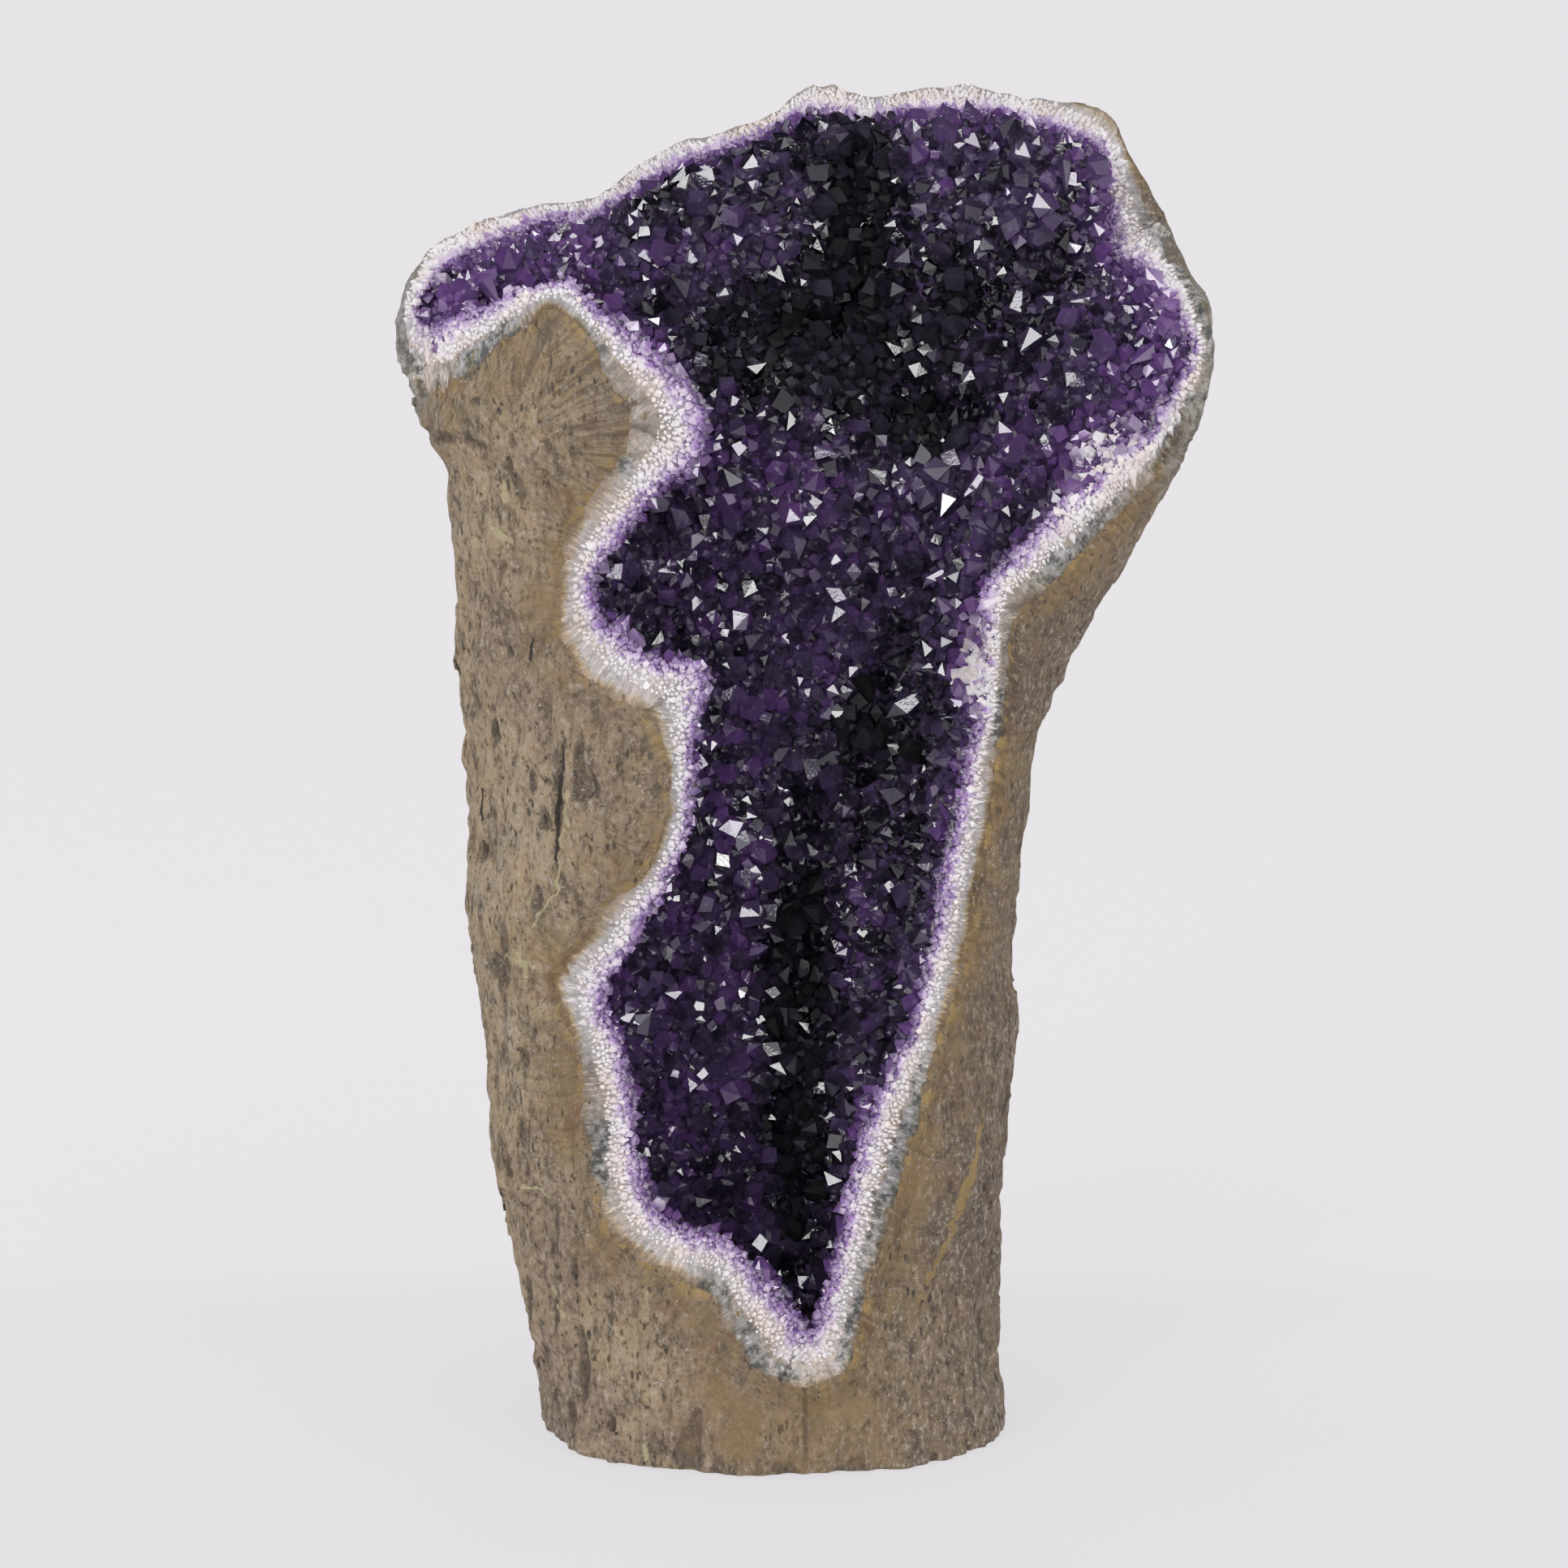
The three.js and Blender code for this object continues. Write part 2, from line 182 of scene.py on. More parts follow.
# Pale crystals among the violet ones, and darker ones: x, z, half width, half height, how much paler.
PALE_PATCHES = [
    (146, 441, 17, 18, 0.85),
    (128, 424, 10, 8, 0.6),
    (90, 354, 12, 20, 1.3),
    (110, 520, 50, 60, -0.16),
    (60, 300, 30, 80, -0.2),
    (-115, 522, 45, 14, 0.20),
    (-90, 556, 60, 22, -0.25),
    (-20, 580, 50, 16, -0.20),
    (142, 478, 26, 30, 0.10),
]
# Places on the back wall where shade is painted on: x, z, half width and half height.
SHADED_PLACES = [
    (36, 532, 20, 70), (18, 488, 52, 26), (82, 510, 12, 16), (66, 452, 20, 15), (43, 311, 20, 14),
    (12, 165, 15, 90),
]
# Where the outer part of the band is grey chalcedony: x, z, half width and half height.
GREY_PLACES = [
    (56, 135, 24, 60), (-10, 62, 62, 26), (-132, 490, 36, 26), (-66, 478, 24, 34), (-84, 150, 18, 34),
    (188, 500, 26, 75), (130, 415, 48, 30), (100, 350, 14, 34),
]
# Where the edge of the rock beside the band is grey too.
GREY_ROCK = [(190, 495, 22, 80), (158, 572, 16, 20), (-162, 488, 20, 26)]

# Where the rim turns from the back to the front and the rock is too thin for relief, and how far its
# surface is raised there instead.
THIN_ROCK = [(187, 461, 17, 18)]
THIN_RELIEF = 0.8
# How far the rock stays behind the cut where crystals grow over its edge.
ROCK_UNDER_CRYSTALS = 5.0

# Share of the crystals in the shaded places that get a near-black, hardly reflecting material as painted
# shade.
PAINTED_SHADE_SHARE = 0.96
# How far the painted shade fades out round such a place, in sizes of the place.
PAINTED_DUSK_REACH = 1.45
# Lightness from which a crystal of the crust is milky.
MILKY_LIGHT = 0.72

# How light bends in quartz, and how much of it goes through amethyst and through cloudy crystals.
QUARTZ_IOR = 1.55
AMETHYST_CLEAR = 0.45
CLOUDY_CLEAR = 0.05

# Half the side of the floor, in millimetres, and where the lamps face, in metres as their places are.
FLOOR = 120000.0
LAMPS_FACE = (0.0, 0.0, 0.32)
# Share of the floor's light that it gives off by itself.
PAPER_GLOW = 0.74

# The camera: where it looks, how high it stands over the middle, how far off, and its lens.
LOOK_AT = (4.0, 0.0, 294.0)
CAMERA_RISE = 11.0
CAMERA_AWAY = 2000.0
PIXELS_PER_UNIT = 5500.0
IMAGE_SIDE = 1932.0
SENSOR = 36.0


def srgb(red, green, blue):
    """A linear colour from the 0 to 255 values that a screen shows."""
    shares = [value / 255.0 for value in (red, green, blue)]
    linear = [s / 12.92 if s <= 0.04045 else ((s + 0.055) / 1.055) ** 2.4 for s in shares]
    return (*linear, 1.0)


def smooth(low, high, value):
    share = np.clip((value - low) / (high - low), 0.0, 1.0)
    return share * share * (3.0 - 2.0 * share)


def mix(low, high, share):
    return low + (high - low) * share


# Noise

NOISE_TABLE = np.random.default_rng(SEED).random(4096).astype(np.float32)


def noise(x, y, z, shift=0):
    """Smooth noise from -1 to 1 with features about one unit across."""
    cells = [np.floor(v).astype(np.int64) for v in (x, y, z)]
    shares = [(v - c).astype(np.float32) for v, c in zip((x, y, z), cells)]
    shares = [s * s * (3 - 2 * s) for s in shares]
    total = np.zeros(np.shape(cells[0] + cells[1] + cells[2]), dtype=np.float32)
    for corner in range(8):
        step = (corner & 1, (corner >> 1) & 1, corner >> 2)
        mixed = (cells[0] + step[0]) * 73856093 ^ (cells[1] + step[1]) * 19349663
        mixed = mixed ^ (cells[2] + step[2]) * 83492791 ^ (shift * 2654435)
        mixed = mixed ^ (mixed >> 13)
        weight = 1.0
        for share, up in zip(shares, step):
            weight = weight * (share if up else 1 - share)
        total += weight * NOISE_TABLE[mixed & 4095]
    return total * 2 - 1


def cloudy(x, y, z, octaves, shift=0):
    """Noise with finer noise on it."""
    total = 0.0
    for octave in range(octaves):
        scale = 2.0 ** octave
        total = total + noise(x * scale, y * scale, z * scale, shift + octave) / scale
    return total


# The trunk's shape

def section(z, inset):
    """Middle and half sizes of the cross-section at a height, moved in by an inset."""
    left, right, front, back = (np.interp(z, PROFILE[:, 0], PROFILE[:, i]) for i in range(1, 5))
    middle_y = (front + back) / 2
    half = (right - left) / 2 - inset
    half_back = back - middle_y - inset * BACK_THICKENING
    return (left + right) / 2, middle_y, half, middle_y - front - inset, half_back


def wall_depth(x, z, inset, side):
    """Y of a section's wall at x, on the front where side is -1 and on the back where it is 1."""
    middle_x, middle_y, half, front, back = section(z, inset)
    across = np.minimum(1, np.abs(x - middle_x) / half)
    along = (1 - across ** SECTION_POWER) ** (1 / SECTION_POWER)
    return middle_y + side * along * np.where(side < 0, front, back)


def rock_thickness(z):
    return mix(ROCK_AT_FOOT, ROCK, smooth(*FOOT_HEIGHTS, z))


def depth_under_rock(x, y, z):
    """How far a point lies under the outside of the rock, to first order. Negative outside it."""
    middle_x, middle_y, half, front, back = section(z, 0.0)
    across = np.abs(x - middle_x)
    along = np.abs(y - middle_y)
    reach = np.where(y < middle_y, front, back)
    n = SECTION_POWER
    size = ((across / half) ** n + (along / reach) ** n + 1e-9) ** (1 / n)
    slope_x = (across ** (n - 1)) / half ** n
    slope_y = (along ** (n - 1)) / reach ** n
    steepness = size ** (1 - n) * np.sqrt(slope_x ** 2 + slope_y ** 2 + 1e-12)
    return (1 - size) / np.maximum(steepness, 0.25 / half)


def layer_depth(x, y, z):
    """Depth below the inside of the rock: 0 where the lining starts, LINING where the crust does."""
    back_share = np.where(y > section(z, 0.0)[1], 1 / BACK_THICKENING, 1.0)
    sides = depth_under_rock(x, y, z) * back_share - rock_thickness(z)
    floor = z - ROCK_FLOOR
    gap = np.maximum(FLOOR_BLEND - np.abs(sides - floor), 0) / FLOOR_BLEND
    return np.minimum(sides, floor) - gap * gap * FLOOR_BLEND / 4


# The rim

def closed_curve(points, steps):
    """A smooth closed curve through points, each stretch in so many steps."""
    count = len(points)
    result = []
    for i in range(count):
        before, start, end, after = (points[(i + k) % count] for k in (-1, 0, 1, 2))
        for step in range(steps):
            t = step / steps
            result.append(0.5 * (2 * start + (end - before) * t
                                 + (2 * before - 5 * start + 4 * end - after) * t ** 2
                                 + (3 * start - before - 3 * end + after) * t ** 3))
    return np.array(result)


RIM_LINE = closed_curve(RIM, RIM_STEPS)
RIM_LINE[:, 4] = np.clip(RIM_LINE[:, 4], -1, 1)
RIM_RUN = np.concatenate([[0], np.cumsum(np.hypot(*np.diff(RIM_LINE[:, :2], axis=0).T))])


def nearest_on(line, x, z):
    """Distance to a closed outline, positive inside it, and the index of its nearest point."""
    flat_x, flat_z = x.ravel(), z.ravel()
    far = np.empty(flat_x.size)
    index = np.empty(flat_x.size, dtype=np.int64)
    inside = np.empty(flat_x.size, dtype=bool)
    following = np.roll(line, -1, axis=0)
    chunk = 4000
    for start in range(0, flat_x.size, chunk):
        part = slice(start, start + chunk)
        px, pz = flat_x[part, None], flat_z[part, None]
        gaps = (px - line[None, :, 0]) ** 2 + (pz - line[None, :, 1]) ** 2
        index[part] = gaps.argmin(axis=1)
        far[part] = np.sqrt(gaps.min(axis=1))
        straddles = (line[None, :, 1] > pz) != (following[None, :, 1] > pz)
        rise = following[:, 1] - line[:, 1]
        rise = np.where(rise == 0, 1e-9, rise)
        cross_x = line[:, 0] + (pz - line[None, :, 1]) * (following[:, 0] - line[:, 0]) / rise
        inside[part] = (straddles & (px < cross_x)).sum(axis=1) % 2 == 1
    far = np.where(inside, far, -far)
    return far.reshape(x.shape), index.reshape(x.shape)


def rim_facts(x, z):
    """For flat places as seen from the front: how far inside the amethyst's edge, how far outside
    the brown rock's edge, the share across the band, the run along the rim, and the cut's y."""
    inner, at_inner = nearest_on(RIM_LINE[:, :2], x, z)
    outer, at_outer = nearest_on(RIM_LINE[:, 2:4], x, z)
    for size, reach in EDGE_WAVES:
        inner = inner + reach * noise(x / size, z / size, 0 * x, 15)
        outer = outer + 0.7 * reach * noise(x / size, z / size, 0 * x, 16)
    outside = np.maximum(-outer, 0)
    share = np.clip(-inner / np.maximum(-inner + outer, 0.5), 0, 1)
    inner_place = RIM_LINE[at_inner]
    outer_place = RIM_LINE[at_outer]
    inner_rock = rock_thickness(inner_place[..., 1])
    y_inner = wall_depth(inner_place[..., 0], inner_place[..., 1], inner_rock + LINING, inner_place[..., 4])
    y_deep = wall_depth(inner_place[..., 0], inner_place[..., 1], inner_rock + LINING + RIM_BEHIND,
                        inner_place[..., 4])
    y_mouth = section(z, 0.0)[1] + inner_place[..., 4] * MOUTH_DEPTH
    outer_rock = rock_thickness(outer_place[..., 3])
    y_outer = wall_depth(outer_place[..., 2], outer_place[..., 3], outer_rock, outer_place[..., 4])
    is_back = smooth(-0.2, 0.8, outer_place[..., 4])
    cut = mix(y_inner, y_outer, share)
    cut = mix(cut, y_deep, np.clip(inner / RIM_INSIDE, 0, 1))
    cut = mix(cut, y_mouth, np.clip((inner - RIM_INSIDE) / (MOUTH_INSIDE - RIM_INSIDE), 0, 1))
    front_drop = outside * FRONT_BEVEL[0] + outside ** 2 * FRONT_BEVEL[1]
    rock_left = rock_thickness(z) * (1 - 0.6 * smooth(0, BEVEL_REACH, outside))
    in_rock = np.where(outside > 0, wall_depth(x, z, rock_left, -1), 1000.0)
    cut = mix(np.minimum(cut - front_drop, in_rock), cut + outside * BACK_BEVEL, is_back)
    return {"inner": inner, "outside": outside, "share": share, "run": RIM_RUN[at_inner], "cut": cut,
            "outer_run": RIM_RUN[at_outer], "is_back": is_back}


# Surfaces from fields

CORNERS = np.array([[i & 1, (i >> 1) & 1, i >> 2] for i in range(8)])
CELL_EDGES = [(a, b) for a in range(8) for b in range(a + 1, 8) if bin(a ^ b).count("1") == 1]


def net(field, origin, step):
    """A closed mesh where a field is zero: a point in each crossed cell, a quad over each edge."""
    solid = field < 0
    nx, ny, nz = field.shape
    count = np.zeros((nx - 1, ny - 1, nz - 1), dtype=np.uint8)
    for dx, dy, dz in CORNERS:
        count += solid[dx:nx - 1 + dx, dy:ny - 1 + dy, dz:nz - 1 + dz]
    active = (count > 0) & (count < 8)
    cells = np.argwhere(active)
    index = np.full(active.shape, -1, dtype=np.int64)
    index[active] = np.arange(len(cells))
    values = np.stack([field[tuple((cells + corner).T)] for corner in CORNERS], axis=1)
    total = np.zeros((len(cells), 3))
    weight = np.zeros(len(cells))
    for a, b in CELL_EDGES:
        crossed = (values[:, a] < 0) != (values[:, b] < 0)
        gap = np.where(crossed, values[:, a] - values[:, b], 1.0)
        share = np.where(crossed, values[:, a] / gap, 0.0)
        place = CORNERS[a] + share[:, None] * (CORNERS[b] - CORNERS[a])
        total += np.where(crossed[:, None], place, 0)
        weight += crossed
    points = np.asarray(origin) + step * (cells + total / weight[:, None])
    quads = []
    for axis in range(3):
        low = [slice(1, size - 1) for size in field.shape]
        low[axis] = slice(0, field.shape[axis] - 1)
        high = list(low)
        high[axis] = slice(1, field.shape[axis])
        starts, ends = solid[tuple(low)], solid[tuple(high)]
        places = np.argwhere(starts != ends)
        outward = starts[tuple(places.T)]
        ways = np.eye(3, dtype=np.int64)
        places = places + 1 - ways[axis]
        first, second = ways[(axis + 1) % 3], ways[(axis + 2) % 3]
        ring = [places - first - second, places - second, places, places - first]
        quad = np.stack([index[tuple(corner.T)] for corner in ring], axis=1)
        quads.append(np.where(outward[:, None], quad, quad[:, ::-1]))
    return without_crumbs(points, np.concatenate(quads))


def without_crumbs(points, quads):
    """The mesh without its small loose bits."""
    label = np.arange(len(points))
    while True:
        lower = label.copy()
        np.minimum.at(lower, quads.ravel(), np.repeat(label[quads].min(axis=1), 4))
        lower = lower[lower]
        if (lower == label).all():
            break
        label = lower
    kept = np.bincount(label, minlength=len(points))[label] >= FEWEST_POINTS
    new_index = np.cumsum(kept) - 1
    return points[kept], new_index[quads[kept[quads[:, 0]]]]


def twice_area(corners):
    """For quads given by their corners, the normal of each, twice as long as its area says."""
    return np.cross(corners[:, 2] - corners[:, 0], corners[:, 3] - corners[:, 1])


def point_normals(points, quads):
    """The surface's direction at each point, the mean of the quads round it."""
    faces = twice_area(points[quads])
    normals = np.zeros_like(points)
    for corner in range(4):
        for axis in range(3):
            normals[:, axis] += np.bincount(quads[:, corner], weights=faces[:, axis], minlength=len(points))
    return normals / np.maximum(np.linalg.norm(normals, axis=1, keepdims=True), 1e-9)


def mesh_object(name, points, faces, smooth_shading, **attributes):
    """A mesh object from points in millimetres and an array of faces with equal numbers of corners."""
    mesh = bpy.data.meshes.new(name)
    sides = faces.shape[1]
    mesh.vertices.add(len(points))
    mesh.vertices.foreach_set("co", (points * MM).astype(np.float32).ravel())
    mesh.loops.add(faces.size)
    mesh.loops.foreach_set("vertex_index", faces.astype(np.int32).ravel())
    mesh.polygons.add(len(faces))
    mesh.polygons.foreach_set("loop_start", np.arange(0, faces.size, sides, dtype=np.int32))
    mesh.polygons.foreach_set("use_smooth", np.full(len(faces), smooth_shading))
    mesh.update(calc_edges=True)
    for label, values in attributes.items():
        layer = mesh.attributes.new(label, "FLOAT", "POINT")
        layer.data.foreach_set("value", np.asarray(values, dtype=np.float32).ravel())
    piece = bpy.data.objects.new(name, mesh)
    bpy.context.scene.collection.objects.link(piece)
    return piece


class Grid:
    """A block of evenly spaced points round the geode."""

    def __init__(self, step):
        self.step = step
        self.origin = low = np.array([*GRID_LOW, -2.5 * step])
        sizes = np.ceil((GRID_HIGH - low) / step).astype(int)
        self.x = (low[0] + step * np.arange(sizes[0]))[:, None, None]
        self.y = (low[1] + step * np.arange(sizes[1]))[None, :, None]
        self.z = (low[2] + step * np.arange(sizes[2]))[None, None, :]
        self.axes = (self.x, self.y, self.z)
        flat_x, flat_z = np.meshgrid(self.x.ravel(), self.z.ravel(), indexing="ij")
        self.rim = rim_facts(flat_x, flat_z)
        steep = np.hypot(*np.gradient(self.rim["cut"], step))
        self.tilt = 1 / np.sqrt(1 + np.minimum(steep, 4.0) ** 2)

    def in_front(self, back_off=0.0):
        """Distance in front of the rim's cut, moved back by so much. Positive is cut away."""
        cut = (self.rim["cut"] + back_off)[:, None, :]
        return (cut - self.y) * self.tilt[:, None, :]

    def places(self, chosen):
        """X, y and z of the chosen points of the block."""
        return [np.broadcast_to(axis, chosen.shape)[chosen] for axis in self.axes]

    def facts(self, name, chosen):
        """One of the rim's facts for the chosen points of the block."""
        return np.broadcast_to(self.rim[name][:, None, :], chosen.shape)[chosen]

    def net(self, field):
        return net(field, self.origin, self.step)


# Rock

# The point of the left lobe that grooves spread from, and how fast they bend over, in radians per
# millimetre.
FLAP_HEART = np.array([-114.0, 447.0])
FAN_CURL = 0.006
# Waves of the relief: size across, size upwards, height, and shift in the noise.
RIBS = ((9, 34, 1.3, 11), (8, 10, 1.2, 12))
GRAIN = ((4.6, 7, 1.3, 31), (2.7, 3.6, 0.9, 33))
CRUMBS = ((5.5, 5.5, 1.5, 66),)
# Pits: how much longer than wide, how deep, and the width of the large and of the small ones.
PIT_STRETCH = 2.6
PIT_DEPTH = 2.6
PIT_WIDTHS = (7, 3.6)
# Notches round the left side: level and depth of each. All lie at one place across, reach as far
# round the side, and are as high.
NOTCHES = ((452.0, 3.4), (69.0, 3.0))
NOTCH_X = -150
NOTCH_REACH = 30
NOTCH_HEIGHT = 3.0
# Where the grooves lie, by distance from their point and by turn: where they begin, are full, fade
# and end.
FAN_RADII = (16, 30, 66, 80)
FAN_TURNS = (-0.5, -0.1, 1.4, 1.8)
# The scored ground beside the rim: the distance from it at which the ground ends, and up to which
# it is full.
SCORED_GROUND = (34, 8)
# How far from the plain shape and from the cut their relief is worked out.
RELIEF_REACH = 10
CUT_REACH = 8
# Cracks in the front: x and z along each, its width and its depth.
CRACKS = [
    (np.array([(-91, 328), (-91.8, 313), (-93.6, 290), (-94, 266)]), 1.5, 2.3),
    (np.array([(-95, 118), (-97, 96)]), 1.4, 1.6),
]


def line_distance(x, z, line):
    """Distance from a line of straight stretches, as seen from the front."""
    best = np.full(np.shape(x), 1e9)
    for start, end in zip(line[:-1], line[1:]):
        run = end - start
        share = np.clip(((x - start[0]) * run[0] + (z - start[1]) * run[1]) / (run @ run), 0, 1)
        best = np.minimum(best, np.hypot(x - start[0] - share * run[0], z - start[1] - share * run[1]))
    return best


def waves(x, y, z, kinds):
    """The sum of several noises, each with its own size across and upwards."""
    return sum(high * noise(x / across, y / across, z / up, shift) for across, up, high, shift in kinds)


def rock_relief(x, y, z, outside, run):
    """Height of the rock's relief over its plain shape, and how deep in a pit a point lies, for the painted
    shade in pits.
    """
    rough = 3.0 * cloudy(x / 42, y / 42, z / 60, 2, 3)
    wander = 3 * noise(x / 20, y / 20, z / 20, 17)
    wide, narrow = PIT_WIDTHS
    large_pits = noise((x + wander) / wide, y / wide, (z + wander) / (wide * PIT_STRETCH), 21)
    small_pits = noise(x / narrow, y / narrow, z / (narrow * PIT_STRETCH), 25)
    pits = smooth(0.4, 0.7, large_pits) + 0.6 * smooth(0.45, 0.8, small_pits)
    front = y < 0
    notches = np.zeros_like(x)
    for level, deep in NOTCHES:
        level_here = level + 5.0 * noise(x / 24, y / 24, 0 * z, 41)
        reach = np.exp(-((x - NOTCH_X) / NOTCH_REACH) ** 2) * smooth(34.0, 4.0, y)
        uneven = 0.5 + 0.5 * smooth(-0.4, 0.3, noise(x / 11, y / 11, z / 30, 42))
        notches = notches + deep * uneven * reach * np.exp(-((z - level_here) / NOTCH_HEIGHT) ** 2)
    cracks = np.zeros_like(x)
    for line, width, deep in CRACKS:
        away = line_distance(x + noise(x / 8, y / 8, z / 8, 43), z, line)
        cracks = cracks + np.where(front, deep * np.exp(-(away / width) ** 2), 0)
    turn = np.arctan2(z - FLAP_HEART[1], x - FLAP_HEART[0]) + FAN_CURL * (x - FLAP_HEART[0])
    radius = np.hypot(x - FLAP_HEART[0], z - FLAP_HEART[1])
    fan_zone = smooth(*FAN_RADII[:2], radius) * (1 - smooth(*FAN_RADII[2:], radius))
    fan_zone = fan_zone * smooth(*FAN_TURNS[:2], turn) * (1 - smooth(*FAN_TURNS[2:], turn)) * front
    fan = 1.1 * fan_zone * noise(turn * 14, radius / 60, 0 * z, 51)
    ground = smooth(*SCORED_GROUND, outside) * front
    scores = 0.7 * ground * noise(run / 3.4, outside / 22, 0 * z, 61)
    on_grey = in_places(x, z, GREY_ROCK)
    pit_share = pits * (1 - 0.7 * ground) * (1 - 0.8 * fan_zone) * (1 - 0.45 * smooth(0.0, 50.0, y))
    pit_share = pit_share * (1 - on_grey)
    ribs = waves(x, y, z, RIBS) * (1 - 0.6 * fan_zone) * (1 - 0.4 * ground)
    height = rough + ribs + waves(x, y, z, GRAIN)
    crumbly = on_grey * waves(x, y, z, CRUMBS)
    height = height - PIT_DEPTH * pit_share - notches - cracks + fan + scores + crumbly
    height = mix(height, THIN_RELIEF, in_places(x, z, THIN_ROCK))
    return height, pit_share + 0.35 * (notches + cracks)


def grey_share(points):
    """How grey the rock is, in ragged patches that end before its back."""
    x, y, z = points.T
    ragged = [14 * noise(x / 13, y / 13, z / 13, shift) for shift in (81, 82, 83)]
    return in_places(x + ragged[0], z + ragged[1], GREY_ROCK) * smooth(52.0, 22.0, y + ragged[2])


def rock_pieces(step):
    """The rock in two meshes, front and back, whose shading runs on over the seam."""
    grid = Grid(step)
    outside = -depth_under_rock(*grid.axes)
    near = np.abs(outside) < RELIEF_REACH
    relief, _ = rock_relief(*grid.places(near), grid.facts("outside", near), grid.facts("outer_run", near))
    outside[near] -= relief
    field = np.maximum(outside, layer_depth(*grid.axes) - ROCK_UNDER_BAND)
    between_corners = smooth(165, 130, grid.x[:, :, 0]) * smooth(-164, -132, grid.x[:, :, 0])
    under_crystals = np.clip(2.0 * grid.rim["inner"], 0, ROCK_UNDER_CRYSTALS)
    cut = grid.in_front(ROCK_BACK_DROP * grid.rim["is_back"] * between_corners + under_crystals)
    close = np.abs(cut) < CUT_REACH
    x, y, z = grid.places(close)
    cut[close] += 0.9 * (1 - in_places(x, z, THIN_ROCK)) * noise(x / 5, y / 5, z / 5, 71)
    points, quads = grid.net(np.maximum(np.maximum(field, cut), -grid.z))
    facts = rim_facts(points[:, 0], points[:, 2])
    _, pit_shade = rock_relief(*points.T, facts["outside"], facts["outer_run"])
    on_outside = np.abs(depth_under_rock(*points.T)) < 12
    front = points[:, 1] < 20
    near_cut = smooth(-7.0, -2.0, facts["cut"] - points[:, 1])
    attributes = {
        "pit_shade": pit_shade * on_outside,
        "from_rim": np.where(front, facts["outside"], 200.0),
        "along_rim": facts["outer_run"],
        "back_rim": facts["is_back"] * near_cut * smooth(170, 140, points[:, 0]),
        "grey": grey_share(points) * smooth(16.0, 9.0, facts["outside"]),
    }
    normals = point_normals(points, quads)
    place = points[quads, 1].mean(axis=1)
    pieces = []
    for name, chosen in (("rock_front", place <= np.median(place)), ("rock_back", place > np.median(place))):
        used, faces = np.unique(quads[chosen], return_inverse=True)
        own = {label: values[used] for label, values in attributes.items()}
        piece = mesh_object(name, points[used], faces.reshape(-1, 4), True, **own)
        piece.data.normals_split_custom_set_from_vertices(normals[used].tolist())
        pieces.append(piece)
    return pieces


# Band of chalcedony and milky quartz

# How far the band stands forward of the cut, how far it sinks back beside its edges, how deep it
# goes, the layers that it fills, and how far it reaches beyond its edges.
BAND_PROUD = 0.35
BAND_SINK = 3.0
BAND_DEEP = 9.0
BAND_LAYERS = (-7, 14)
BAND_BEYOND = 3.0
# How far the band stays under the outside of the rock and over the floor.
BAND_UNDER_ROCK = 2.0
BAND_OVER_FLOOR = 1.0
# The band is whiter at the back, where its share across is cut by so much.
BACK_PALER = 0.4


def band_piece(step):
    """The band's mesh, with its points and quads, its share across and which points face forward."""
    grid = Grid(step)
    layers = layer_depth(*grid.axes)
    off_band = np.maximum(grid.rim["inner"], grid.rim["outside"])
    back_off = np.where(off_band > 0, np.minimum(off_band * 1.2, BAND_SINK), 0) - BAND_PROUD
    cut = grid.in_front(back_off)
    close = np.abs(cut) < 5
    run, share = grid.facts("run", close), grid.facts("share", close)
    grain = 0.35 * noise(*[axis / 2.6 for axis in grid.places(close)], 82)
    cut[close] += 0.5 * noise(run / 3.0, share * 2, 0 * run, 81) + grain
    low, high = BAND_LAYERS
    field = np.maximum(np.maximum(low - layers, layers - high), np.maximum(cut, -cut - BAND_DEEP))
    field = np.maximum(field, BAND_UNDER_ROCK - depth_under_rock(*grid.axes))
    field = np.maximum(field, BAND_OVER_FLOOR - grid.z)
    points, quads = grid.net(np.maximum(field, (off_band - BAND_BEYOND)[:, None, :]))
    facts = rim_facts(points[:, 0], points[:, 2])
    share = np.where(facts["inner"] > 0, -facts["inner"] / 10, facts["share"] + facts["outside"] / 10)
    pale = share * (1 - BACK_PALER * facts["is_back"] * smooth(160, 120, points[:, 0]))
    grey = in_places(points[:, 0], points[:, 2], GREY_PLACES)
    piece = mesh_object("band", points, quads, True, share=pale, run=facts["run"], grey=grey)
    on_face = np.abs(points[:, 1] - facts["cut"]) < 2.5
    return piece, points, quads, pale, on_face


# Crust of crystals

# How far the crust lies behind the cut, the slope by which it sinks outside the amethyst's edge and
# how far that goes at most, and how far it reaches into the rock.
CRUST_BEHIND = 2.2
CRUST_SLOPE = 1.6
CRUST_SINK = 9.0
CRUST_IN_ROCK = 2.0
# How far over its thickness its unevenness is worked out.
CRUST_REACH = 45


def crust_thickness(x, y, z, to_rim):
    """How thick the crust is: thin at the rim, with the swellings and hollows of the back wall."""
    grown = smooth(0, CRUST_TAPER, to_rim)
    thick = mix(CRUST_AT_RIM, CRUST, grown)
    for form_x, form_z, width, height, raised in CRUST_FORMS:
        far = ((x - form_x) / width) ** 2 + ((z - form_z) / height) ** 2
        thick = thick + np.where(y > 0, raised * np.exp(-far) * grown, 0)
    return np.maximum(thick, CRUST_AT_RIM)


